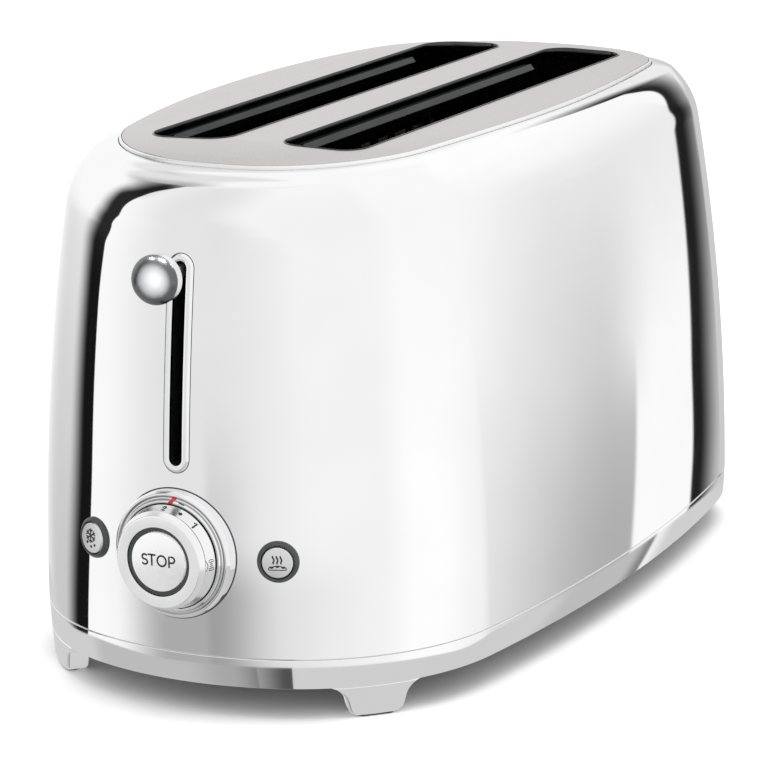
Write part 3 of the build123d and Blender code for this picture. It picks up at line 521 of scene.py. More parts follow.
class Value:
    """A number worked out by shader nodes, written as ordinary arithmetic."""

    def __init__(self, tree, socket):
        self.tree = tree
        self.socket = socket

    def math(self, operation, *others):
        node = self.tree.nodes.new("ShaderNodeMath")
        node.operation = operation
        for entry, value in zip(node.inputs, (self, *others)):
            if isinstance(value, Value):
                self.tree.links.new(value.socket, entry)
            else:
                entry.default_value = value
        return Value(self.tree, node.outputs[0])

    def __add__(self, other):
        return self.math("ADD", other)

    def __sub__(self, other):
        return self.math("SUBTRACT", other)

    def __mul__(self, other):
        return self.math("MULTIPLY", other)

    def __truediv__(self, other):
        return self.math("DIVIDE", other)

    def __rsub__(self, other):
        return self * -1 + other

    __radd__ = __add__
    __rmul__ = __mul__

    def below(self, limit):
        return self.math("MINIMUM", limit)

    def above(self, limit):
        return self.math("MAXIMUM", limit)

    def smooth(self, start, end):
        """0 up to the start, 1 from the end, with a smooth rise between them."""
        node = add_node(self.tree, "MapRange", {"Value": self.socket, "From Min": start, "From Max": end})
        node.interpolation_type = "SMOOTHSTEP"
        return Value(self.tree, node.outputs["Result"])

    def fall(self, start, end):
        """1 up to the start, 0 from the end, with a smooth fall between them."""
        return 1 - self.smooth(start, end)

    def hill(self, rise, top, edge, foot):
        """0 outside, 1 between the top and the edge, with smooth slopes."""
        return self.smooth(rise, top) * self.fall(edge, foot)


def new_material(name):
    """A material with one Principled shader: returns it, its tree and the shader."""
    material = bpy.data.materials.new(name)
    material.use_nodes = True
    tree = material.node_tree
    return material, tree, tree.nodes["Principled BSDF"]


def noise(tree, scale, detail=3, stretch=(1, 1, 1), roughness=0.5):
    """Noise over the object's own coordinates, with its grains stretched along the axes."""
    place = add_node(tree, "TexCoord", {}).outputs["Object"]
    mapping = add_node(tree, "Mapping", {"Vector": place, "Scale": [1 / s for s in stretch]})
    grain = {"Vector": mapping.outputs["Vector"], "Scale": scale, "Detail": detail, "Roughness": roughness}
    return Value(tree, add_node(tree, "TexNoise", grain).outputs["Fac"])


def vary_colour(tree, shader, value, dark, light):
    """Base colour between two colours, as a value goes from 0.35 to 0.65."""
    ramp = add_node(tree, "ValToRGB", {"Fac": value.socket})
    for element, position, colour in zip(ramp.color_ramp.elements, (0.35, 0.65), (dark, light)):
        element.position = position
        element.color = (*colour, 1)
    tree.links.new(ramp.outputs["Color"], shader.inputs["Base Color"])


def vary_roughness(tree, shader, value, low, high):
    """Roughness between two numbers, as a value goes from 0.3 to 0.7."""
    limits = {"Value": value.socket, "From Min": 0.3, "From Max": 0.7, "To Min": low, "To Max": high}
    tree.links.new(add_node(tree, "MapRange", limits).outputs["Result"], shader.inputs["Roughness"])


def add_bump(tree, shader, value, depth, strength=1.0):
    """Relief from a value, with its depth in millimetres."""
    relief = {"Strength": strength, "Distance": depth * MM, "Height": value.socket}
    tree.links.new(add_node(tree, "Bump", relief).outputs["Normal"], shader.inputs["Normal"])


def coat(name, dark, light, rough, grain, bump, metallic, detail):
    """A material whose colour and roughness vary a little over its surface, with a fine relief."""
    material, tree, shader = new_material(name)
    shader.inputs["Metallic"].default_value = metallic
    cloud = noise(tree, grain, detail)
    vary_colour(tree, shader, cloud, dark, light)
    vary_roughness(tree, shader, cloud, *rough)
    if bump:
        add_bump(tree, shader, cloud, bump)
    return material


def metal(name, dark, light, rough, grain=60, bump=0.0):
    """A metal."""
    return coat(name, dark, light, rough, grain, bump, 1.0, 4)


def plastic(name, dark, light, rough, grain=400, bump=0.0):
    """A moulded plastic, rubber, card, paint or ink."""
    return coat(name, dark, light, rough, grain, bump, 0.0, 3)


def brushed_steel(name, dark, light):
    """Steel brushed along X: long fine scratches in colour, roughness and relief."""
    material, tree, shader = new_material(name)
    shader.inputs["Metallic"].default_value = 1.0
    scratches = noise(tree, 2600, 2, (60, 1, 1), 0.6)
    streaks = noise(tree, 500, 2, (80, 1, 1), 0.5)
    both = scratches * 0.7 + streaks * 0.3
    vary_colour(tree, shader, both, dark, light)
    vary_roughness(tree, shader, both, 0.24, 0.36)
    add_bump(tree, shader, scratches, 0.006, 0.4)
    return material


chrome = metal("chrome", (0.93, 0.93, 0.935), (0.955, 0.955, 0.96), (0.02, 0.035), 25)
band_chrome = metal("band_chrome", (0.93, 0.93, 0.94), (0.95, 0.95, 0.96), (0.03, 0.05), 25)
trim_chrome = metal("trim_chrome", (0.90, 0.90, 0.91), (0.94, 0.94, 0.95), (0.05, 0.08), 60)
plate_steel = brushed_steel("plate_steel", (0.575, 0.556, 0.552), (0.615, 0.596, 0.592))
rim_metal = metal("rim_metal", (0.93, 0.93, 0.935), (0.955, 0.955, 0.96), (0.36, 0.42), 25)
# The knob's dark base colour is a painted dark reflection: it stands in for dark surroundings that the
# chrome knob would mirror at its edge
knob_painted_dark_reflection = metal("knob_painted_dark_reflection", (0.13, 0.133, 0.136), (0.15, 0.153, 0.156), (0.25, 0.28), 80)
satin_metal = metal("satin_metal", (0.91, 0.91, 0.915), (0.93, 0.93, 0.935), (0.21, 0.24), 90, 0.002)
# Darker grey for the hollow of the dial ring: painted shade in the recess
cove_painted_shade = metal("cove_painted_shade", (0.36, 0.36, 0.365), (0.42, 0.42, 0.425), (0.22, 0.28), 200, 0.003)
disc_metal = metal("disc_metal", (0.80, 0.80, 0.80), (0.83, 0.83, 0.83), (0.30, 0.36), 300, 0.003)
stop_metal = metal("stop_metal", (0.91, 0.91, 0.91), (0.94, 0.94, 0.94), (0.30, 0.36), 300, 0.003)
zinc = metal("zinc", (0.30, 0.30, 0.31), (0.42, 0.42, 0.43), (0.28, 0.45), 35, 0.01)
# Sheets and bread guides inside the body are made dark: painted shade inside the slots
interior_steel_painted_shade = metal("interior_steel_painted_shade", (0.045, 0.048, 0.05), (0.08, 0.083, 0.085), (0.16, 0.28), 40)
guide_steel_painted_shade = metal("guide_steel_painted_shade", (0.03, 0.033, 0.034), (0.05, 0.054, 0.055), (0.16, 0.26), 60)
# Slot liners are darkened: painted shade inside the slots
liner_metal_painted_shade = metal("liner_metal_painted_shade", (0.05, 0.052, 0.055), (0.08, 0.082, 0.085), (0.12, 0.2), 60)
copper = metal("copper_wire", (0.30, 0.10, 0.05), (0.42, 0.16, 0.08), (0.3, 0.4), 200)
brass = metal("brass", (0.62, 0.47, 0.20), (0.72, 0.56, 0.26), (0.25, 0.35), 120)
# Near-black for a sleeve in the dial ring's bore, painted shade in the gap, and for the lever slot's lining,
# partly a black guide and partly painted shade
slot_shade_black = plastic("slot_shade_black", (0.004, 0.005, 0.005), (0.008, 0.009, 0.009), (0.30, 0.38))
# Black for seals round the trims, partly gaskets and partly painted shadow lines at the joints, and for a
# painted shade line in the dial knob's neck
seal_and_shadow_black = plastic("seal_and_shadow_black", (0.02, 0.02, 0.021), (0.03, 0.03, 0.031), (0.4, 0.5))
ring_plastic = plastic("ring_plastic", (0.030, 0.031, 0.032), (0.045, 0.046, 0.047), (0.32, 0.42), 900, 0.01)
ink_black = plastic("ink_black", (0.008, 0.008, 0.009), (0.014, 0.014, 0.015), (0.35, 0.45), 700)
ink_red = plastic("ink_red", (0.42, 0.006, 0.02), (0.483, 0.0069, 0.023), (0.3, 0.38), 250)
rubber = plastic("rubber", (0.018, 0.018, 0.018), (0.035, 0.035, 0.034), (0.75, 0.9), 600, 0.03)
base_paint = plastic("base_paint", (0.05, 0.05, 0.052), (0.07, 0.07, 0.072), (0.45, 0.6), 900, 0.02)
# Heater cards: a brown tone of their own, made darker as painted shade inside the slots
heater_board_and_shade = plastic("heater_board_and_shade", (0.06, 0.055, 0.045), (0.10, 0.09, 0.075), (0.5, 0.7), 150, 0.02)
circuit_board = plastic("circuit_board", (0.01, 0.09, 0.03), (0.02, 0.15, 0.05), (0.3, 0.45), 120)
terminal_plastic = plastic("terminal_plastic", (0.55, 0.52, 0.44), (0.66, 0.63, 0.55), (0.4, 0.55), 300)

# Body shell: a rounded foot, the leaning wall, the shoulder up to the cover, and the same inside
foot_round = 0.5
foot_steps = 4
lean_steps = 26
shoulder_steps = 40
stations = body.stations()
joints = [cover_joint(station) for station in stations]
lean_slopes = [lean_end * k / lean_steps for k in range(1, lean_steps - 2)]
fine_slopes = [lean_end * (lean_steps - 2 + 0.2 * k) / lean_steps for k in range(10)]
places = [2 * k / shoulder_steps for k in range(shoulder_steps + 1)]
shell_rings = []
for k in range(foot_steps + 1):
    angle = radians(90 * k / foot_steps)
    inset = foot_round * (1 - sin(angle))
    shell_rings.append(ring_at(inset, band_top + foot_round * (1 - cos(angle)), stations))
for slope in lean_slopes + fine_slopes:
    shell_rings.append([(x, y, crowned(x, z)) for x, y, z in ring_at(*wall_at(slope), stations)])
for place in places:
    shell_rings.append([tuple(shoulder_point(*pair, place)) for pair in zip(stations, joints)])
for place in reversed(places[::4]):
    shell_rings.append([tuple(shoulder_point(*pair, place, shell_wall)) for pair in zip(stations, joints)])
shell_rings += [ring_at(*wall_at(slope, shell_wall), stations) for slope in reversed(lean_slopes[::3])]
shell_rings.append(ring_at(shell_wall, band_top, stations))


def shoulder_normals():
    """Points of the shoulder and of the wall just below it, in a search tree, and which way each faces."""
    first = foot_steps + 1 + len(lean_slopes)
    rings = shell_rings[first : first + len(fine_slopes) + len(places)]
    count = len(stations)
    tree = KDTree(len(rings) * count)
    normals = []
    for row, ring in enumerate(rings):
        below = rings[max(0, row - 1)]
        above = rings[min(len(rings) - 1, row + 1)]
        for k in range(count):
            up = Vector(above[k]) - Vector(below[k])
            along = Vector(ring[(k + 1) % count]) - Vector(ring[k - 1])
            tree.insert(ring[k], len(normals))
            normals.append(along.cross(up).normalized())
    tree.balance()
    return tree, normals


shell_tree, shell_normals = shoulder_normals()
shell_shape = skin(shell_rings, closed=True)
shell = add_skin("body_shell_skin", *shell_shape, chrome, "housing", "body_shell")
cut_near = 130
cut_far = 230
slot_room = 0.85
slot_top = lever_slot_top + slot_room
slot_bottom = lever_slot_bottom - slot_room
slot_edge = racetrack(lever_slot_offset, lever_slot_width + 2 * slot_room, slot_top, slot_bottom)
slot_hole = [point[:2] for point in slot_edge]
dial_hole = circle(0, dial_height, dial_hole_radius)
button_places = [button_shift + side * button_offset for side in (-1, 1)]
button_holes = [circle(y, button_height, button_hole_radius) for y in button_places]
cut(shell, *(prism(hole, -cut_far, -cut_near) for hole in (slot_hole, dial_hole, *button_holes)))


def set_wall_normals(piece):
    """Give the wall's outside its own exact normals, so that its reflections are smooth."""
    mesh = piece.data
    normals = [(0.0, 0.0, 0.0)] * len(mesh.loops)
    for face in mesh.polygons:
        centre = face.center / MM
        if centre.z < band_top + foot_round:
            continue
        for loop in face.loop_indices:
            point = mesh.vertices[mesh.loops[loop].vertex_index].co / MM
            point.x -= frame_shift
            _, nearest, distance = shell_tree.find(point)
            normal = shell_normals[nearest] if distance < 0.02 else wall_normal(*point)
            if face.normal.dot(normal) > 0.9:
                normals[loop] = tuple(normal)
    mesh.normals_split_custom_set(normals)


set_wall_normals(shell)

# Cover: a rounded edge that stands on the body, and a face with both slots
slot_length = 254.0
slot_width = 36.6
slot_spacing = 57.9
slot_corner = 11.0
slot_middles = (slot_spacing / 2, -slot_spacing / 2)


def slot_ring(middle, grow, rise, steps=10):
    """A ring round a slot, at a distance outside it and above the cover's face."""
    reach = slot_corner + grow
    ring = []
    for quarter, (side_x, side_y) in enumerate(((1, 1), (-1, 1), (-1, -1), (1, -1))):
        middle_x = side_x * (slot_length / 2 - slot_corner)
        middle_y = middle + side_y * (slot_width / 2 - slot_corner)
        for step in range(steps + 1):
            angle = pi / 2 * (quarter + step / steps)
            x = middle_x + reach * cos(angle)
            y = middle_y + reach * sin(angle)
            ring.append((x, y, cover_height(x, y) + rise))
    return ring


def spread(ring, gap=4.0):
    """The same closed ring with extra points on its long straight runs."""
    points = []
    for number, here in enumerate(ring):
        after = ring[(number + 1) % len(ring)]
        steps = max(1, ceil(hypot(after[0] - here[0], after[1] - here[1]) / gap))
        for step in range(steps):
            share = step / steps
            points.append(tuple(a + (b - a) * share for a, b in zip(here, after)))
    return points


def on_cover(ring, rise):
    """The same ring laid on the cover's face, or above it."""
    return [(x, y, cover_height(x, y) + rise) for x, y, _ in ring]


def nearest(ring, point):
    """The point of a ring that lies nearest to a place in plan."""
    return min(ring, key=lambda spot: (spot[0] - point.x) ** 2 + (spot[1] - point.y) ** 2)


def add_rim():
    """The cover's bright rounded rim."""
    section = [(4.0, 2.2), (-0.1, 2.2), (-0.1, 0.9)]
    for k in range(1, 9):
        angle = radians(90 * k / 8)
        section.append((-0.1 + 0.8 * (1 - cos(angle)), 0.9 - 0.9 * sin(angle)))
    section += [(0.8, 0.08), (0.8, 1.0), (4.0, 1.0)]
    rings = [cover_edge_ring(*point) for point in section]
    add_skin("top_rim_skin", *skin(rings, closed=True), rim_metal, "housing", "top_rim", 40)


def add_cover():
    """The plate inside the rim: its edge, its face as far as the slots, and the slots' edges."""
    cover_stations = cover.stations()
    rings = [cover_edge_ring(1.05, 0.95), cover_edge_ring(1.05, 0.1)]
    for inset in (1.15, 1.5, 3.0, 5.0, 8.0):
        rings.append(on_cover(ring_at(inset, 0, cover_stations), 0))
    points, faces = skin(rings)
    shape = bmesh.new()
    verts = [shape.verts.new(point) for point in points]
    for face in faces:
        shape.faces.new([verts[k] for k in face])
    loops = [verts[-len(cover_stations) :]]
    for middle in slot_middles:
        outer = [shape.verts.new(point) for point in spread(slot_ring(middle, 2.0, 0))]
        edge = spread(slot_ring(middle, 0.0, 0))
        inner = [shape.verts.new(nearest(edge, vert.co)) for vert in outer]
        loops.append(outer)
        for k in range(len(outer)):
            after = (k + 1) % len(outer)
            shape.faces.new((outer[k], outer[after], inner[after], inner[k]))
    edges = []
    for loop in loops:
        for k, vert in enumerate(loop):
            other = loop[(k + 1) % len(loop)]
            edges.append(shape.edges.get((vert, other)) or shape.edges.new((vert, other)))
    bmesh.ops.triangle_fill(shape, edges=edges, use_beauty=True)
    shape.verts.index_update()
    points = [tuple(vert.co) for vert in shape.verts]
    faces = [tuple(vert.index for vert in face.verts) for face in shape.faces]
    shape.free()
    add_skin("top_cover", points, faces, plate_steel, "housing", "top_plate", 50)


add_rim()
add_cover()

# Liners: a wall in each slot, darkened as painted shade in the slot, with a rolled top and bottom edge
liner_wall = 0.8
liner_depth = 3.7


def add_liner(name, middle):
    """A thin ring that follows the slot's edge."""
    section = [(-0.02, 0.05)]
    for k in range(5):
        angle = radians(180 - 45 * k)
        section.append((-liner_wall / 2 + liner_wall / 2 * -cos(angle), 0.05 + 0.25 * sin(angle)))
    section += [(-liner_wall, -liner_depth), (-0.6, -liner_depth - 0.25), (-0.2, -liner_depth - 0.25)]
    section.append((-0.02, -liner_depth))
    rings = [spread(slot_ring(middle, grow, rise), 12.0) for grow, rise in section]
    add_skin(name + "_skin", *skin(rings, closed=True), liner_metal_painted_shade, "housing", name, 60)


add_liner("slot_liner_far", slot_middles[0])
add_liner("slot_liner_near", slot_middles[1])

# Base band: it leans in a little towards the floor
band_lean = radians(3)


def band_inset(z):
    """Inset of the band's face at a height."""
    return (band_top - z) * tan(band_lean)


band_section = rounded([
    (band_inset(band_top), band_top, 0.25), (2.0, band_top, 0), (2.0, 16.7, 0), (9.0, 16.7, 0),
    (9.0, 15.2, 0), (2.0, 15.2, 0), (2.0, band_bottom, 0),
    (band_inset(band_bottom), band_bottom, 0.15),
])
band_shape = skin([ring_at(inset, z, stations) for inset, z in band_section], closed=True)
band = add_skin("base_band_skin", *band_shape, band_chrome, "housing", "base_band")
tray_cut_near = 140
tray_half_width = 49.3
tray_bottom = 15.0
tray_top = 21.8
tray_low = [(side * tray_half_width, tray_bottom) for side in (-1, 1)]
tray_hole = [*tray_low, *((y, tray_top) for y, _ in reversed(tray_low))]
cut(band, prism(tray_hole, tray_cut_near, cut_far))

# Feet: flush with the band, flared at the top and rounded at the bottom
foot_bottom = 0.6
foot_depth = 10.0
foot_toe = 3.0


def foot_half_width(z):
    """Half width of a foot at a height: nearly straight, then flared out to the band."""
    knee = 6.6
    if z < knee:
        return 10.7 + 1.6 * (z - foot_bottom) / (knee - foot_bottom)
    rise = (z - knee) / (band_bottom - knee)
    return 12.3 + 1.6 * rise + 5.0 * (1 - sqrt(1 - rise**2))


def foot_rings(turn_x, turn_y):
    """Sections of one foot, from the floor up: rounded in front, square behind."""
    corner_top = 9
    rings = []
    heights = [foot_bottom + foot_toe * (1 - cos(radians(15 * k))) for k in range(7)]
    heights += [4.6, 5.6, 6.6, 7.6, 8.6, 9.6, 10.4, 11.2, 11.7, 12.15, band_bottom]
    for z in heights:
        pull = max(0, foot_bottom + foot_toe - z)
        toe = foot_toe - sqrt(foot_toe**2 - pull**2)
        seam = 0.45 if z == band_bottom else 0
        half = foot_half_width(z) - toe - seam
        front = band_inset(z) + 0.35 * toe + seam
        corner = 1.5 if z < corner_top else 0.3 + 1.2 * (band_bottom - z) / (band_bottom - corner_top)
        corners = [(-half, front, corner), (half, front, corner)]
        corners += [(half, foot_depth, 1.0), (-half, foot_depth, 1.0)]
        shape = rounded(corners, turn=radians(18))
        ring = []
        for along, depth in densified(shape):
            angle = radians(45) + along / corner_radius
            reach = corner_radius - depth
            x = turn_x * (body.corner_x + reach * cos(angle))
            y = turn_y * (body.corner_y + reach * sin(angle))
            ring.append((x, y, z))
        rings.append(ring)
    return rings


def densified(shape):
    """The same outline with extra points on its front, which has to follow the outline's arc."""
    points = []
    for number, here in enumerate(shape):
        after = shape[(number + 1) % len(shape)]
        points.append(here)
        if abs(after[0] - here[0]) > 6:
            for step in range(1, 8):
                points.append(tuple(a + (b - a) * step / 8 for a, b in zip(here, after)))
    return points


quarters = ((1, 1), (-1, 1), (-1, -1), (1, -1))
feet = joined([skin(foot_rings(*quarter), capped=True) for quarter in quarters])
add_skin("feet_skin", *feet, band_chrome, "housing", "feet", 40)

# Lever slot: a raised bright frame, a thin dark seal round it that is partly a gasket and partly a painted
# shadow line, and a black lining that is partly a black guide and partly painted shade in the slot
slot_edge = racetrack(lever_slot_offset, lever_slot_width, lever_slot_top, lever_slot_bottom)
frame_section = rounded([
    (0, -0.6, 0), (0, bezel_proud - 0.25, 0.2), (0.7, bezel_proud, 0.3),
    (bezel_width - 0.8, bezel_proud, 0.4), (bezel_width, 0.1, 0.3), (bezel_width, -0.6, 0),
])
seal_shadow_profile = [(-0.3, 0.08), (0.28, 0.08), (0.34, -0.5), (-0.3, -0.5)]
seal_shadow_section = [(bezel_width + away, proud) for away, proud in seal_shadow_profile]
lining_section = [(0.02, bezel_proud - 0.7), (0.5, bezel_proud - 0.7), (0.5, -7.0), (0.02, -7.0)]
slot_frame = on_wall(slot_edge, frame_section)
add_skin("lever_bezel_skin", *slot_frame, trim_chrome, "housing", "lever_bezel", 40)
# The seal round the frame is partly a gasket and partly a painted shadow line at the joint
add_piece("lever_bezel_seal_shadow", *on_wall(slot_edge, seal_shadow_section), seal_and_shadow_black, "housing", "lever_bezel")
# The lining is partly a black guide and partly painted shade inside the slot
add_piece("lever_slot_lining_and_shade", *on_wall(slot_edge, lining_section), slot_shade_black, "housing", "lever_bezel")

# Lever knob: a dome on a short collar
lever_mount = Mount((-half_length, 0, lever_height), (-1, 0, 0))
dome_section = [(knob_out - 0.5, 0.02), (knob_out - 0.5, knob_radius - 0.6)]
dome_section.append((knob_out - 0.3, knob_radius - 0.15))
for k in range(30):
    angle = radians(3 * k)
    dome_section.append((knob_out + knob_depth * sin(angle), knob_radius * cos(angle)))
dome_section.append((knob_out + knob_depth, 0.02))
collar_section = rounded([
    (knob_out - 0.3, 0.02, 0), (knob_out - 0.3, knob_radius - 0.25, 0.2),
    (2.0, knob_radius - 0.25, 1.2), (2.0, 0.02, 0),
])
# The dome's dark grey is a painted dark reflection; its bright spots come from its own lamps
knob = add_turned("lever_knob_skin", lever_mount, dome_section, knob_painted_dark_reflection, "lever", "lever_knob")
add_turned("lever_collar_skin", lever_mount, collar_section, satin_metal, "lever", "lever_collar")

# Stem behind the collar
stem_half_width = 2.0
stem_half_height = 2.2
stem_ends = (-39.7, 2.2)
stem_signs = ((1, 1), (1, -1), (-1, -1), (-1, 1))
stem_corners = [(stem_half_width * a, stem_half_height * b) for a, b in stem_signs]
stem_rings = [[lever_mount.at(out, *corner) for corner in stem_corners] for out in stem_ends]
add_skin("lever_stem_bar", *skin(stem_rings, capped=True), zinc, "lever", "lever_stem")

# Dial: a fixed ring, a turning knob with marks on its skirt, and the stop button
dial_mount = Mount((-half_length, 0, dial_height), (-1, 0, 0))
ring_section = rounded([
    (-9.0, 20.6, 0), (3.6, 20.6, 0.25), (3.6, 21.4, 0.35), (1.7, 22.2, 0.6), (2.4, 23.5, 0.8),
    (0.9, 24.8, 0.6), (-4.4, 24.8, 0), (-4.4, 21.9, 0), (-9.0, 21.9, 0),
])
# A darker ring lies in the cove of the dial ring: painted shade in the hollow
cove_shade_section = [(2.9, 21.62), (2.0, 22.0), (1.78, 22.35), (1.95, 22.75), (2.26, 23.2)]
cove_shade_section += [(2.4, 23.15), (2.1, 22.72), (1.92, 22.35), (2.12, 22.05), (3.0, 21.72)]
add_turned("dial_ring_skin", dial_mount, ring_section, trim_chrome, "housing", "dial_ring")
add_piece("dial_ring_cove_shade", *turned(dial_mount, cove_shade_section), cove_painted_shade, "housing", "dial_ring", 60)
# A black sleeve in the ring's bore: painted shade in the gap between ring and knob
bore_section = [(-8.0, 20.3), (3.2, 20.3), (3.2, 20.62), (-8.0, 20.62)]
add_piece("dial_ring_bore_shade", *turned(dial_mount, bore_section), slot_shade_black, "housing", "dial_ring")
# Dark seal round the dial ring: partly a gasket and partly a painted shadow line at the wall
ring_seal_shadow_radius = 24.75
ring_edge = [(ring_seal_shadow_radius * c, dial_height + ring_seal_shadow_radius * s, c, s) for c, s in directions(96)]
ring_seal_shadow_section = [(-0.2, 0.15), (0.56, 0.15), (0.62, -0.5), (-0.2, -0.5)]
add_piece("dial_ring_seal_shadow", *on_wall(ring_edge, ring_seal_shadow_section), seal_and_shadow_black, "housing", "dial_ring")
skirt_start = (3.9, 20.2)
skirt_end = (8.5, 18.5)
knob_section = rounded(
    [
        (3.9, 12.6, 0), (*skirt_start, 0.15), (*skirt_end, 0.3), (9.5, 19.25, 0.4),
        (11.8, 17.7, 0.7), (11.8, 13.4, 0.15), (6.3, 13.4, 0), (6.3, 12.6, 0),
    ],
    turn=radians(6),
)
dial_knob = add_turned("dial_knob_skin", dial_mount, knob_section, satin_metal, "dial", "dial_knob", 160)
stop_face = 11.7
stop_section = [(-12.5, 0.02), (-12.5, 1.8), (8.9, 1.8), (8.9, 11.45), (11.4, 11.45)]
stop_section += [(11.62, 11.36), (stop_face, 11.15), (stop_face, 0.02)]
stop_disc = add_turned("stop_disc", dial_mount, stop_section, stop_metal, "stop", "stop_button")
# A black line in the neck of the dial knob: painted shade in the crease
neck_section = [(8.3, 18.4), (8.3, 18.62), (8.62, 18.72), (8.7, 18.5)]
add_piece("dial_knob_neck_shadow", *turned(dial_mount, neck_section), seal_and_shadow_black, "dial", "dial_knob")


def on_disc(a, b, rise):
    """A place on the stop button's face."""
    return dial_mount.at(stop_face + rise, a, b)


def on_skirt(angle):
    """A surface for marks on the skirt: a runs clockwise, and b from the middle towards the ring."""

    def place(a, b, rise):
        share = 0.5 - b / hypot(skirt_end[0] - skirt_start[0], skirt_start[1] - skirt_end[1])
        out = skirt_start[0] + (skirt_end[0] - skirt_start[0]) * share
        radius = skirt_start[1] + (skirt_end[1] - skirt_start[1]) * share
        return dial_mount.around(out + 0.35 * rise, radius + 0.93 * rise, angle + a / radius)

    return place


def letters():
    """The word STOP in strokes of one width."""
    top = 2.6
    low = -1.4
    middle = (top + low) / 2
    width = 0.74
    upper = arc_path(-5.75, middle + 0.95, 1.05, 0.97, 40, 270)
    lower = arc_path(-5.75, middle - 1.0, 1.15, 0.98, 90, -140)
    bowl = arc_path(5.95, top - 1.15, 1.2, 1.15, 90, -90)
    word_s = upper + lower[1:]
    word_t = [[(-4.15, top), (-1.25, top)], [(-2.7, top), (-2.7, low)]]
    word_o = arc_path(1.6, middle, 1.9, 2.0, 0, 345, 30)
    word_p = [(4.75, low), (4.75, top), *bowl, (4.75, top - 2.3)]
    shapes = strokes(on_disc, [word_s, *word_t], width)
    return joined([*shapes, stroke(on_disc, word_o, width, closed=True), stroke(on_disc, word_p, width)])


def numeral(number):
    """Paths of a numeral about 2.2 tall and 1.3 wide."""
    if number == 1:
        return [[(-0.75, 0.7), (0.15, 1.45), (0.15, -1.4)]]
    if number == 2:
        return [arc_path(0, 0.5, 0.6, 0.6, 170, -35) + [(-0.6, -1.1), (0.65, -1.1)]]
    if number == 3:
        return [arc_path(0, 0.55, 0.55, 0.55, 160, -90), arc_path(0, -0.55, 0.62, 0.55, 90, -160)]
    if number == 4:
        return [[(0.3, -1.1), (0.3, 1.1), (-0.7, -0.5), (0.75, -0.5)]]
    if number == 5:
        return [[(0.55, 1.1), (-0.45, 1.1), (-0.5, 0.15), *arc_path(0, -0.4, 0.65, 0.7, 110, -150)]]
    return [[(0.35, 1.1), (-0.35, 0.2), *arc_path(0, -0.45, 0.62, 0.65, 155, -200)]]


def skirt_marks():
    """Numbers 1 to 6 with dots between them, and the reheat mark."""
    number_step = 42.5
    numeral_line = 0.72
    shapes = []
    for number in range(1, 7):
        angle = radians(number_step * (2 - number))
        shapes += strokes(on_skirt(angle), numeral(number), numeral_line)
        if number < 6:
            shapes.append(dot(on_skirt(angle - radians(number_step / 2)), 0, 0, 0.42, 0.42))
    shapes.append(dot(on_skirt(radians(number_step / 2)), 0, 0, 0.9, 0.75))
    reheat = on_skirt(radians(91))
    box = rounded([(-2.1, -0.6, 0.5), (2.1, -0.6, 0.5), (2.1, 1.4, 0.5), (-2.1, 1.4, 0.5)])
    shapes.append(stroke(reheat, box, 0.26, closed=True))
    wave = [(0.2 * sin(2 * pi * k / 10), -0.2 + 1.2 * k / 10) for k in range(11)]
    waves = [[(middle + a, b) for a, b in wave] for middle in (-1.2, -0.4, 0.4, 1.2)]
    shapes += strokes(reheat, waves, 0.3)
    shapes.append(blot(reheat, [(-2.4, -2.3), (2.4, -2.3), (1.3, -1.5), (0, -1.0), (-1.3, -1.5)]))
    return joined(shapes)


add_piece("stop_letters", *letters(), ink_black, "stop", "stop_button")
add_piece("dial_marks", *skirt_marks(), ink_black, "dial", "dial_knob")
marker_path = [(3.64, 20.75, 3.2), (3.64, 21.3, 3.9), (3.0, 21.75, 4.5)]
marker_path += [(2.2, 22.0, 5.0), (2.12, 22.5, 5.6), (2.45, 23.3, 6.4)]
marker_rings = []
for out, radius, angle in marker_path:
    half = 0.95 / radius
    middle = radians(angle)
    edges = ((0.06, -half), (0.06, half), (-0.15, half), (-0.15, -half))
    marker_rings.append([dial_mount.around(out + rise, radius, middle + side) for rise, side in edges])
marker = skin(marker_rings, capped=True)
add_skin("dial_marker_skin", *marker, ink_red, "housing", "dial_marker")

# Side buttons: pale discs in raised dark rings that follow the wall
button_disc_radius = 5.8
button_disc_proud = 2.1
button_stem_end = -9.6


def button_mount(y):
    """Where a button sits on the wall."""
    origin = end_wall(y, button_height)
    return Mount(origin, wall_normal(*origin))


def add_button(name, y):
    """A button with its ring and stem; returns the surface of its face."""
    mount = button_mount(y)
    ring_section = rounded([
        (-3.4, 6.4, 0), (1.75, 6.4, 0.2), (2.0, 6.75, 0.4), (0.9, 7.9, 0.5), (-0.35, 8.05, 0),
        (-0.35, 7.4, 0), (-1.6, 6.85, 0), (-3.4, 6.85, 0),
    ])
    add_turned(name + "_ring", mount, ring_section, ring_plastic, "housing", name + "_bezel")
    disc_section = rounded([
        (-1.6, 0.02, 0), (-1.6, button_disc_radius, 0),
        (button_disc_proud, button_disc_radius, 0.3), (button_disc_proud + 0.1, 0.02, 0),
    ])
    axis = Mount((-half_length, y - button_shift, button_height), (-1, 0, 0))
    front = -half_length - mount.origin.x - 0.5
    stem_section = [(front, 0.02), (front, 2.0), (button_stem_end, 2.0), (button_stem_end, 0.02)]
    shape = joined([turned(mount, disc_section), turned(axis, stem_section, 32)])
    add_skin(name + "_disc", *shape, disc_metal, name, name + "_button")

    def face(a, b, rise):
        return mount.at(button_disc_proud + 0.1 + rise, a, b)

    return face


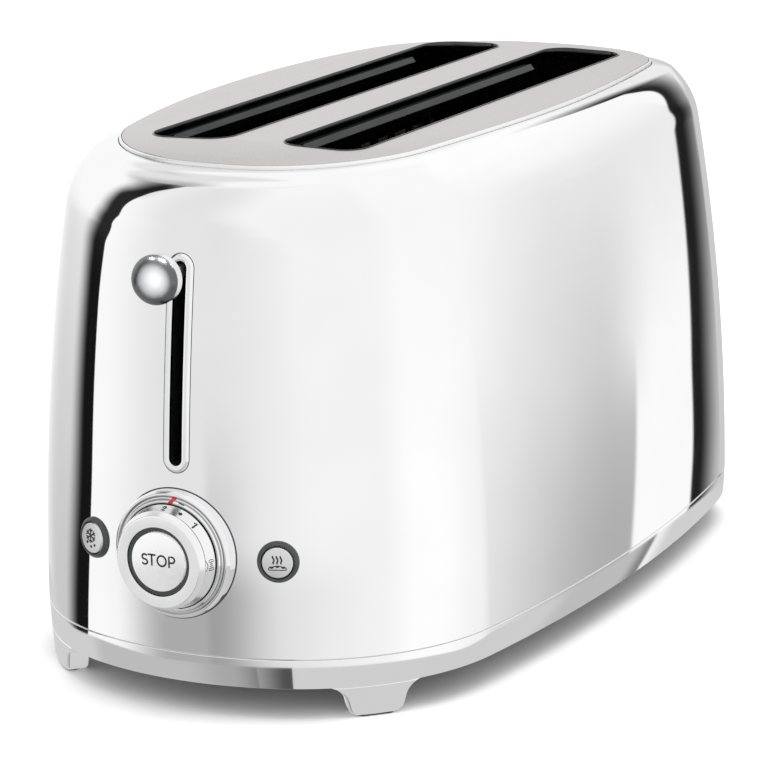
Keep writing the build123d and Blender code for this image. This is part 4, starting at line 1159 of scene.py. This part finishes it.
def snowflake(surface):
    """A snowflake with three drops under it."""
    centre = Vector((-0.3, 0.9))
    arm_line = 0.62
    fork_line = 0.56
    shapes = []
    for arm in range(6):
        way = Vector((sin(radians(60 * arm)), cos(radians(60 * arm))))
        side = Vector((way.y, -way.x)) * 0.85
        fork = centre + way * 1.5
        tip = fork + way * 0.8
        shapes.append(stroke(surface, [centre + way * 0.15, centre + way * 2.6], arm_line))
        shapes.append(stroke(surface, [tip + side, fork, tip - side], fork_line))
    for a, b in ((-2.3, -1.9), (-0.1, -3.3), (1.9, -2.5)):
        shapes.append(dot(surface, a, b, 0.55, 0.6))
    return joined(shapes)


def warm_roll(surface):
    """A roll with three cuts, and steam over it."""
    steam_line = 0.62
    wave = []
    for k in range(15):
        share = k / 14
        sway = 0.3 * cos(2 * pi * share) * (0.4 + 0.6 * sin(pi * share))
        wave.append((0.25 * share - sway, 2.5 - 2.7 * share))
    waves = [[(middle + a, b) for a, b in wave] for middle in (-1.65, -0.2, 1.25)]
    shapes = strokes(surface, waves, steam_line)
    roll = [(-3.4, -2.7, 0.4), (3.4, -2.7, 0.4), (3.3, -1.9, 0.7), (0.0, -0.95, 4.0), (-3.3, -1.9, 0.7)]
    shapes.append(stroke(surface, rounded(roll), 0.34, closed=True))
    for middle, top in ((-2.2, -1.35), (0.0, -1.0), (2.2, -1.3)):
        shapes.append(blot(surface, arc_path(middle, top, 0.85, 0.85, 180, 360, 10)))
    return joined(shapes)


defrost_face = add_button("defrost", button_places[1])
warm_face = add_button("warm", button_places[0])
add_piece("defrost_icon", *snowflake(defrost_face), ink_black, "defrost", "defrost_button")
add_piece("warm_icon", *warm_roll(warm_face), ink_black, "warm", "warm_button")

# The chrome doesn't mirror the controls
hidden_from_chrome = ("lever_stem_", "lever_knob_", "lever_collar_", "lever_bezel_", "lever_slot_")
hidden_from_chrome += ("dial_", "stop_", "defrost_", "warm_")
for piece in bpy.context.scene.objects:
    if piece.name.startswith(hidden_from_chrome):
        piece.visible_glossy = False

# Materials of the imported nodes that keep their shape
def numbered(name):
    """The names of four nodes of a kind."""
    return [f"{name}_{number}" for number in range(1, 5)]


wires = ["base_screws", "armature_plate", "guide_rod", "return_spring", "dial_shaft", "board_screws"]
wires += ["tray_rail_far", "tray_rail_near", *numbered("heater_ribbon")]
sheets = ["chassis_plate_front", "chassis_plate_rear", "reflector_far", "reflector_near", "carriage"]
sheets += ["bread_rack_far", "bread_rack_near", "control_bracket"]
node_materials = (
    # Sheets, guides and heater cards inside are darkened: painted shade inside the body
    (zinc, wires), (interior_steel_painted_shade, sheets),
    (guide_steel_painted_shade, numbered("bread_guide")),
    (heater_board_and_shade, numbered("heater_card")),
    (ring_plastic, ["dial_insert", "timer_pot", "tact_switches", "cord_gland"]),
    (rubber, ["foot_pads"]),
    (base_paint, ["base_plate"]),
    (copper, ["electromagnet"]),
    (circuit_board, ["control_board"]),
    (band_chrome, ["crumb_tray"]),
    (terminal_plastic, ["terminal_block"]),
    (brass, ["terminal_screws"]),
)
for material, names in node_materials:
    for name in names:
        for slot in frame["nodes"][name].material_slots:
            slot.material = material

# Studio: the surroundings that the chrome reflects
def studio(az, el):
    """Brightness of the studio in a direction, which is where the chrome gets its dark bands from."""
    low = el.below(0)
    turned_az = az + az.math("LESS_THAN", 0) * 360
    # Dark screen behind the far side: a hard edge, and a fade away from it
    edge = 96 + 6 * el.smooth(-4, 4) + 12 * el.smooth(-25, -10) - 7.5 * el.smooth(18, 40)
    edge = edge + 4.5 * el.smooth(44, 58)
    inside = edge - az
    fade = inside - 1.5 * el.fall(-18, -12)
    tail = 0.4 * el.fall(-20, 12)
    near_end = 8 - 5 * el.smooth(34, 46)
    far_end = 24 - 11 * el.smooth(24, 46)
    fade = ((fade - near_end) / (far_end - near_end)).smooth(0, 1)
    core = 0.992 - 0.014 * el.smooth(-4, 2) - tail
    far = core * (1 - fade) + tail * inside.fall(35, 75) * el.fall(40, 50)
    far = inside.smooth(-0.35, 0.35) * far * el.fall(50, 62)
    over = (0.2 + 0.3 * az.smooth(70, 98)) * az.hill(36, 46, 100, 112) * el.hill(38, 46, 58, 68)
    # Faint line that marks the far edge of the top
    line = (el - 0.9 * az + 3.4).math("ABSOLUTE")
    rim = 0.18 * line.fall(2, 7) * az.hill(24, 29, 48, 60)
    # Dark screen beyond the far end
    edge = 5.6 * el.smooth(3, 16) - 3.5 * el.smooth(18, 27) - 11.75 + 0.05 * low
    edge = edge - 0.7 * el.smooth(-15, -11.5)
    inside = az - edge
    share = 1 - el.smooth(2, 9)
    plain = 0.98 - 0.86 * inside.smooth(1, 11)
    long = 0.985 - 0.6 * inside.smooth(1.6, 8)
    end = inside.smooth(-0.3, 0.3) * (plain + share * (long - plain)) * el.fall(21, 33)
    end = end * az.fall(19, 30)
    # Grey screens on the near side
    right = az.smooth(-29, -19)
    right = right + el.fall(-13, -9) * (az.smooth(-23.8, -23) - right)
    near = (0.49 * az.smooth(-52, -26) + 0.06 * az.smooth(-80, -50)) * (1 - right) * el.fall(-17, 0)
    near = near + 0.13 * az.hill(-46, -34, -12, -11) * el.hill(-11, -4, 0, 20)
    # Grey screen towards the controls
    shift = 20 * el.smooth(14, 56)
    start = (turned_az + shift).smooth(112, 147)
    after = turned_az - 164 + 32 * el.smooth(22, 60)
    rise = after / (54 - 30 * el.smooth(-4, 22) + 10 * el.smooth(25, 58))
    front = 0.185 * start - 0.135 * rise.smooth(0, 1) - 0.05 * turned_az.smooth(244, 268)
    front = front * (1 - 0.7 * el.smooth(60, 75))
    foot = 0.47 * az.smooth(121, 146) + 0.47 * az.math("LESS_THAN", 0)
    foot = foot * (1 - 0.75 * turned_az.smooth(160, 196) - 0.25 * turned_az.smooth(196, 250))
    foot = foot * el.fall(-15.5, -11.5)
    patch = 0.17 * turned_az.hill(160, 165, 168, 186) * el.fall(-11, -3)
    above = 1
    for screen in (far, over, rim, end, near, front, foot, patch):
        above = above * (1 - screen)
    above = above + 0.045 * az.hill(-115, -98, -88, -46) * el.fall(-8, 2)
    above = above + 0.04 * el.hill(18, 30, 38, 50) * az.hill(-46, -30, 20, 30)
    # What the base band sees lower down
    dim = 0.12 * az.hill(-35, -30, -19, -18.5) + 0.12 * az.smooth(100, 112)
    stop = 0.33 * az.hill(-22.5, -18.7, -18.7, -18.4)
    glow = 0.28 * az.hill(-18.7, -18.4, -18.4, -14.5)
    edge = 0.12 * turned_az.smooth(150, 168) + 0.45 * turned_az.smooth(168, 194.5)
    edge = edge * turned_az.fall(196.5, 197.1)
    below = 0.65 - dim - stop + glow - edge
    gate = 4.8 * az.smooth(-72, -8) - 2.4 * az.smooth(40, 100) - 2.4 * az.smooth(100, 150) - 21.6
    mix = (el - gate).smooth(-0.25, 0.25)
    return (above * mix + below * (1 - mix)).above(0.0)


def build_world():
    """White for the camera and for soft light, and the studio for reflections."""
    soft_strength = 1.42
    world = bpy.data.worlds.new("studio")
    bpy.context.scene.world = world
    world.use_nodes = True
    world.cycles.sampling_method = "NONE"
    tree = world.node_tree
    tree.nodes.clear()
    split = add_node(tree, "SeparateXYZ", {"Vector": add_node(tree, "TexCoord", {}).outputs["Generated"]})
    x, y, z = (Value(tree, output) for output in split.outputs)
    brightness = studio(y.math("ARCTAN2", x) * degrees(1), z.math("ARCSINE") * degrees(1))
    reflected = Value(tree, add_node(tree, "LightPath", {}).outputs["Is Glossy Ray"])
    strength = brightness * reflected + (1 - reflected) * soft_strength
    background = add_node(tree, "Background", {"Color": (1, 1, 1, 1), "Strength": strength.socket})
    add_node(tree, "OutputWorld", {"Surface": background.outputs["Background"]})


build_world()

# White floor, and a soft light overhead
floor_mesh = bpy.data.meshes.new("floor")
floor_reach = 6.0
floor_corners = [(floor_reach * x, floor_reach * y, 0) for x, y in ((-1, -1), (1, -1), (1, 1), (-1, 1))]
floor_mesh.from_pydata(floor_corners, [], [(0, 1, 2, 3)])
floor_white = plastic("floor_white", (0.88, 0.88, 0.88), (0.9, 0.9, 0.9), (0.8, 0.9), 30)
floor_mesh.materials.append(floor_white)
floor = bpy.data.objects.new("floor", floor_mesh)
bpy.context.scene.collection.objects.link(floor)
floor.visible_glossy = False


def add_softbox(name, place, size, power, target=(0, 0, 0.1)):
    """A round area light that looks at a target."""
    light = bpy.data.lights.new(name, "AREA")
    light.shape = "DISK"
    light.size = size
    light.energy = power
    lamp = bpy.data.objects.new(name, light)
    lamp.location = place
    lamp.rotation_euler = (Vector(place) - Vector(target)).to_track_quat("Z", "Y").to_euler()
    bpy.context.scene.collection.objects.link(lamp)
    lamp.visible_glossy = False
    lamp.visible_camera = False
    return lamp


add_softbox("overhead", (0.12, -0.25, 1.6), 1.5, 14)


def add_own_light(name, group, target, way, size, power):
    """A light that falls on one group of pieces alone; the way leads to it from its target."""
    lamp = add_softbox(name, target + way, size, power, target)
    lamp.visible_glossy = True
    lamp.light_linking.receiver_collection = group
    lamp.light_linking.blocker_collection = group


# Lights for the knob alone: large soft ones in front, inside each other, and three small ones above
knob_middle_out = 10
knob_place = Vector((-half_length + frame_shift - knob_middle_out, 0, lever_height)) * MM
knob_group = bpy.data.collections.new("knob_lights")
knob_group.objects.link(knob)
knob_front = (-1.0, -0.06, -0.02)
for name, way, size, power in (
    ("knob_wide", knob_front, 5.0, 105),
    ("knob_middle", knob_front, 3.0, 42),
    ("knob_narrow", knob_front, 1.8, 13),
    ("knob_centre", knob_front, 1.0, 4),
    ("knob_top", (0.38, -0.10, 0.92), 0.34, 16),
    ("knob_top_left", (0.21, 0.43, 0.88), 0.14, 5),
    ("knob_top_right", (0.86, -0.25, 0.44), 0.12, 5),
):
    add_own_light(name, knob_group, knob_place, Vector(way).normalized(), size, power)

# A soft light in front of the dial's flat faces
dial_group = bpy.data.collections.new("dial_lights")
dial_group.objects.link(dial_knob)
dial_group.objects.link(stop_disc)
dial_place = Vector((-half_length + frame_shift, 0, dial_height)) * MM
dial_front = Vector((-0.81, 0.49, -0.33))
add_own_light("dial_front", dial_group, dial_place, dial_front, 1.6, 1.6)

# Camera: fitted to the photograph
camera_azimuth = radians(-62.654)
camera_elevation = radians(14.4)
camera_roll = radians(-0.992)
camera_place = Vector((-1278.897 + frame_shift, -654.641, 449.904)) * MM
focal_pixels = 3527.093
image_size = 780
right = Vector((cos(camera_azimuth), sin(camera_azimuth), 0))
flat_backward = Vector((sin(camera_azimuth), -cos(camera_azimuth), 0))
backward = flat_backward * cos(camera_elevation) + Vector((0, 0, sin(camera_elevation)))
upward = backward.cross(right)
rolled_right = right * cos(camera_roll) + upward * sin(camera_roll)
rolled_up = upward * cos(camera_roll) - right * sin(camera_roll)
camera_data = bpy.data.cameras.new("camera")
sensor_width = 36
camera_data.sensor_width = sensor_width
camera_data.lens = focal_pixels * sensor_width / image_size
camera_data.clip_end = 50
camera = bpy.data.objects.new("camera", camera_data)
turned_axes = Matrix((rolled_right, rolled_up, backward)).transposed().to_4x4()
camera.matrix_world = Matrix.Translation(camera_place) @ turned_axes
bpy.context.scene.collection.objects.link(camera)
bpy.context.scene.camera = camera
bpy.context.scene.view_settings.view_transform = "Standard"
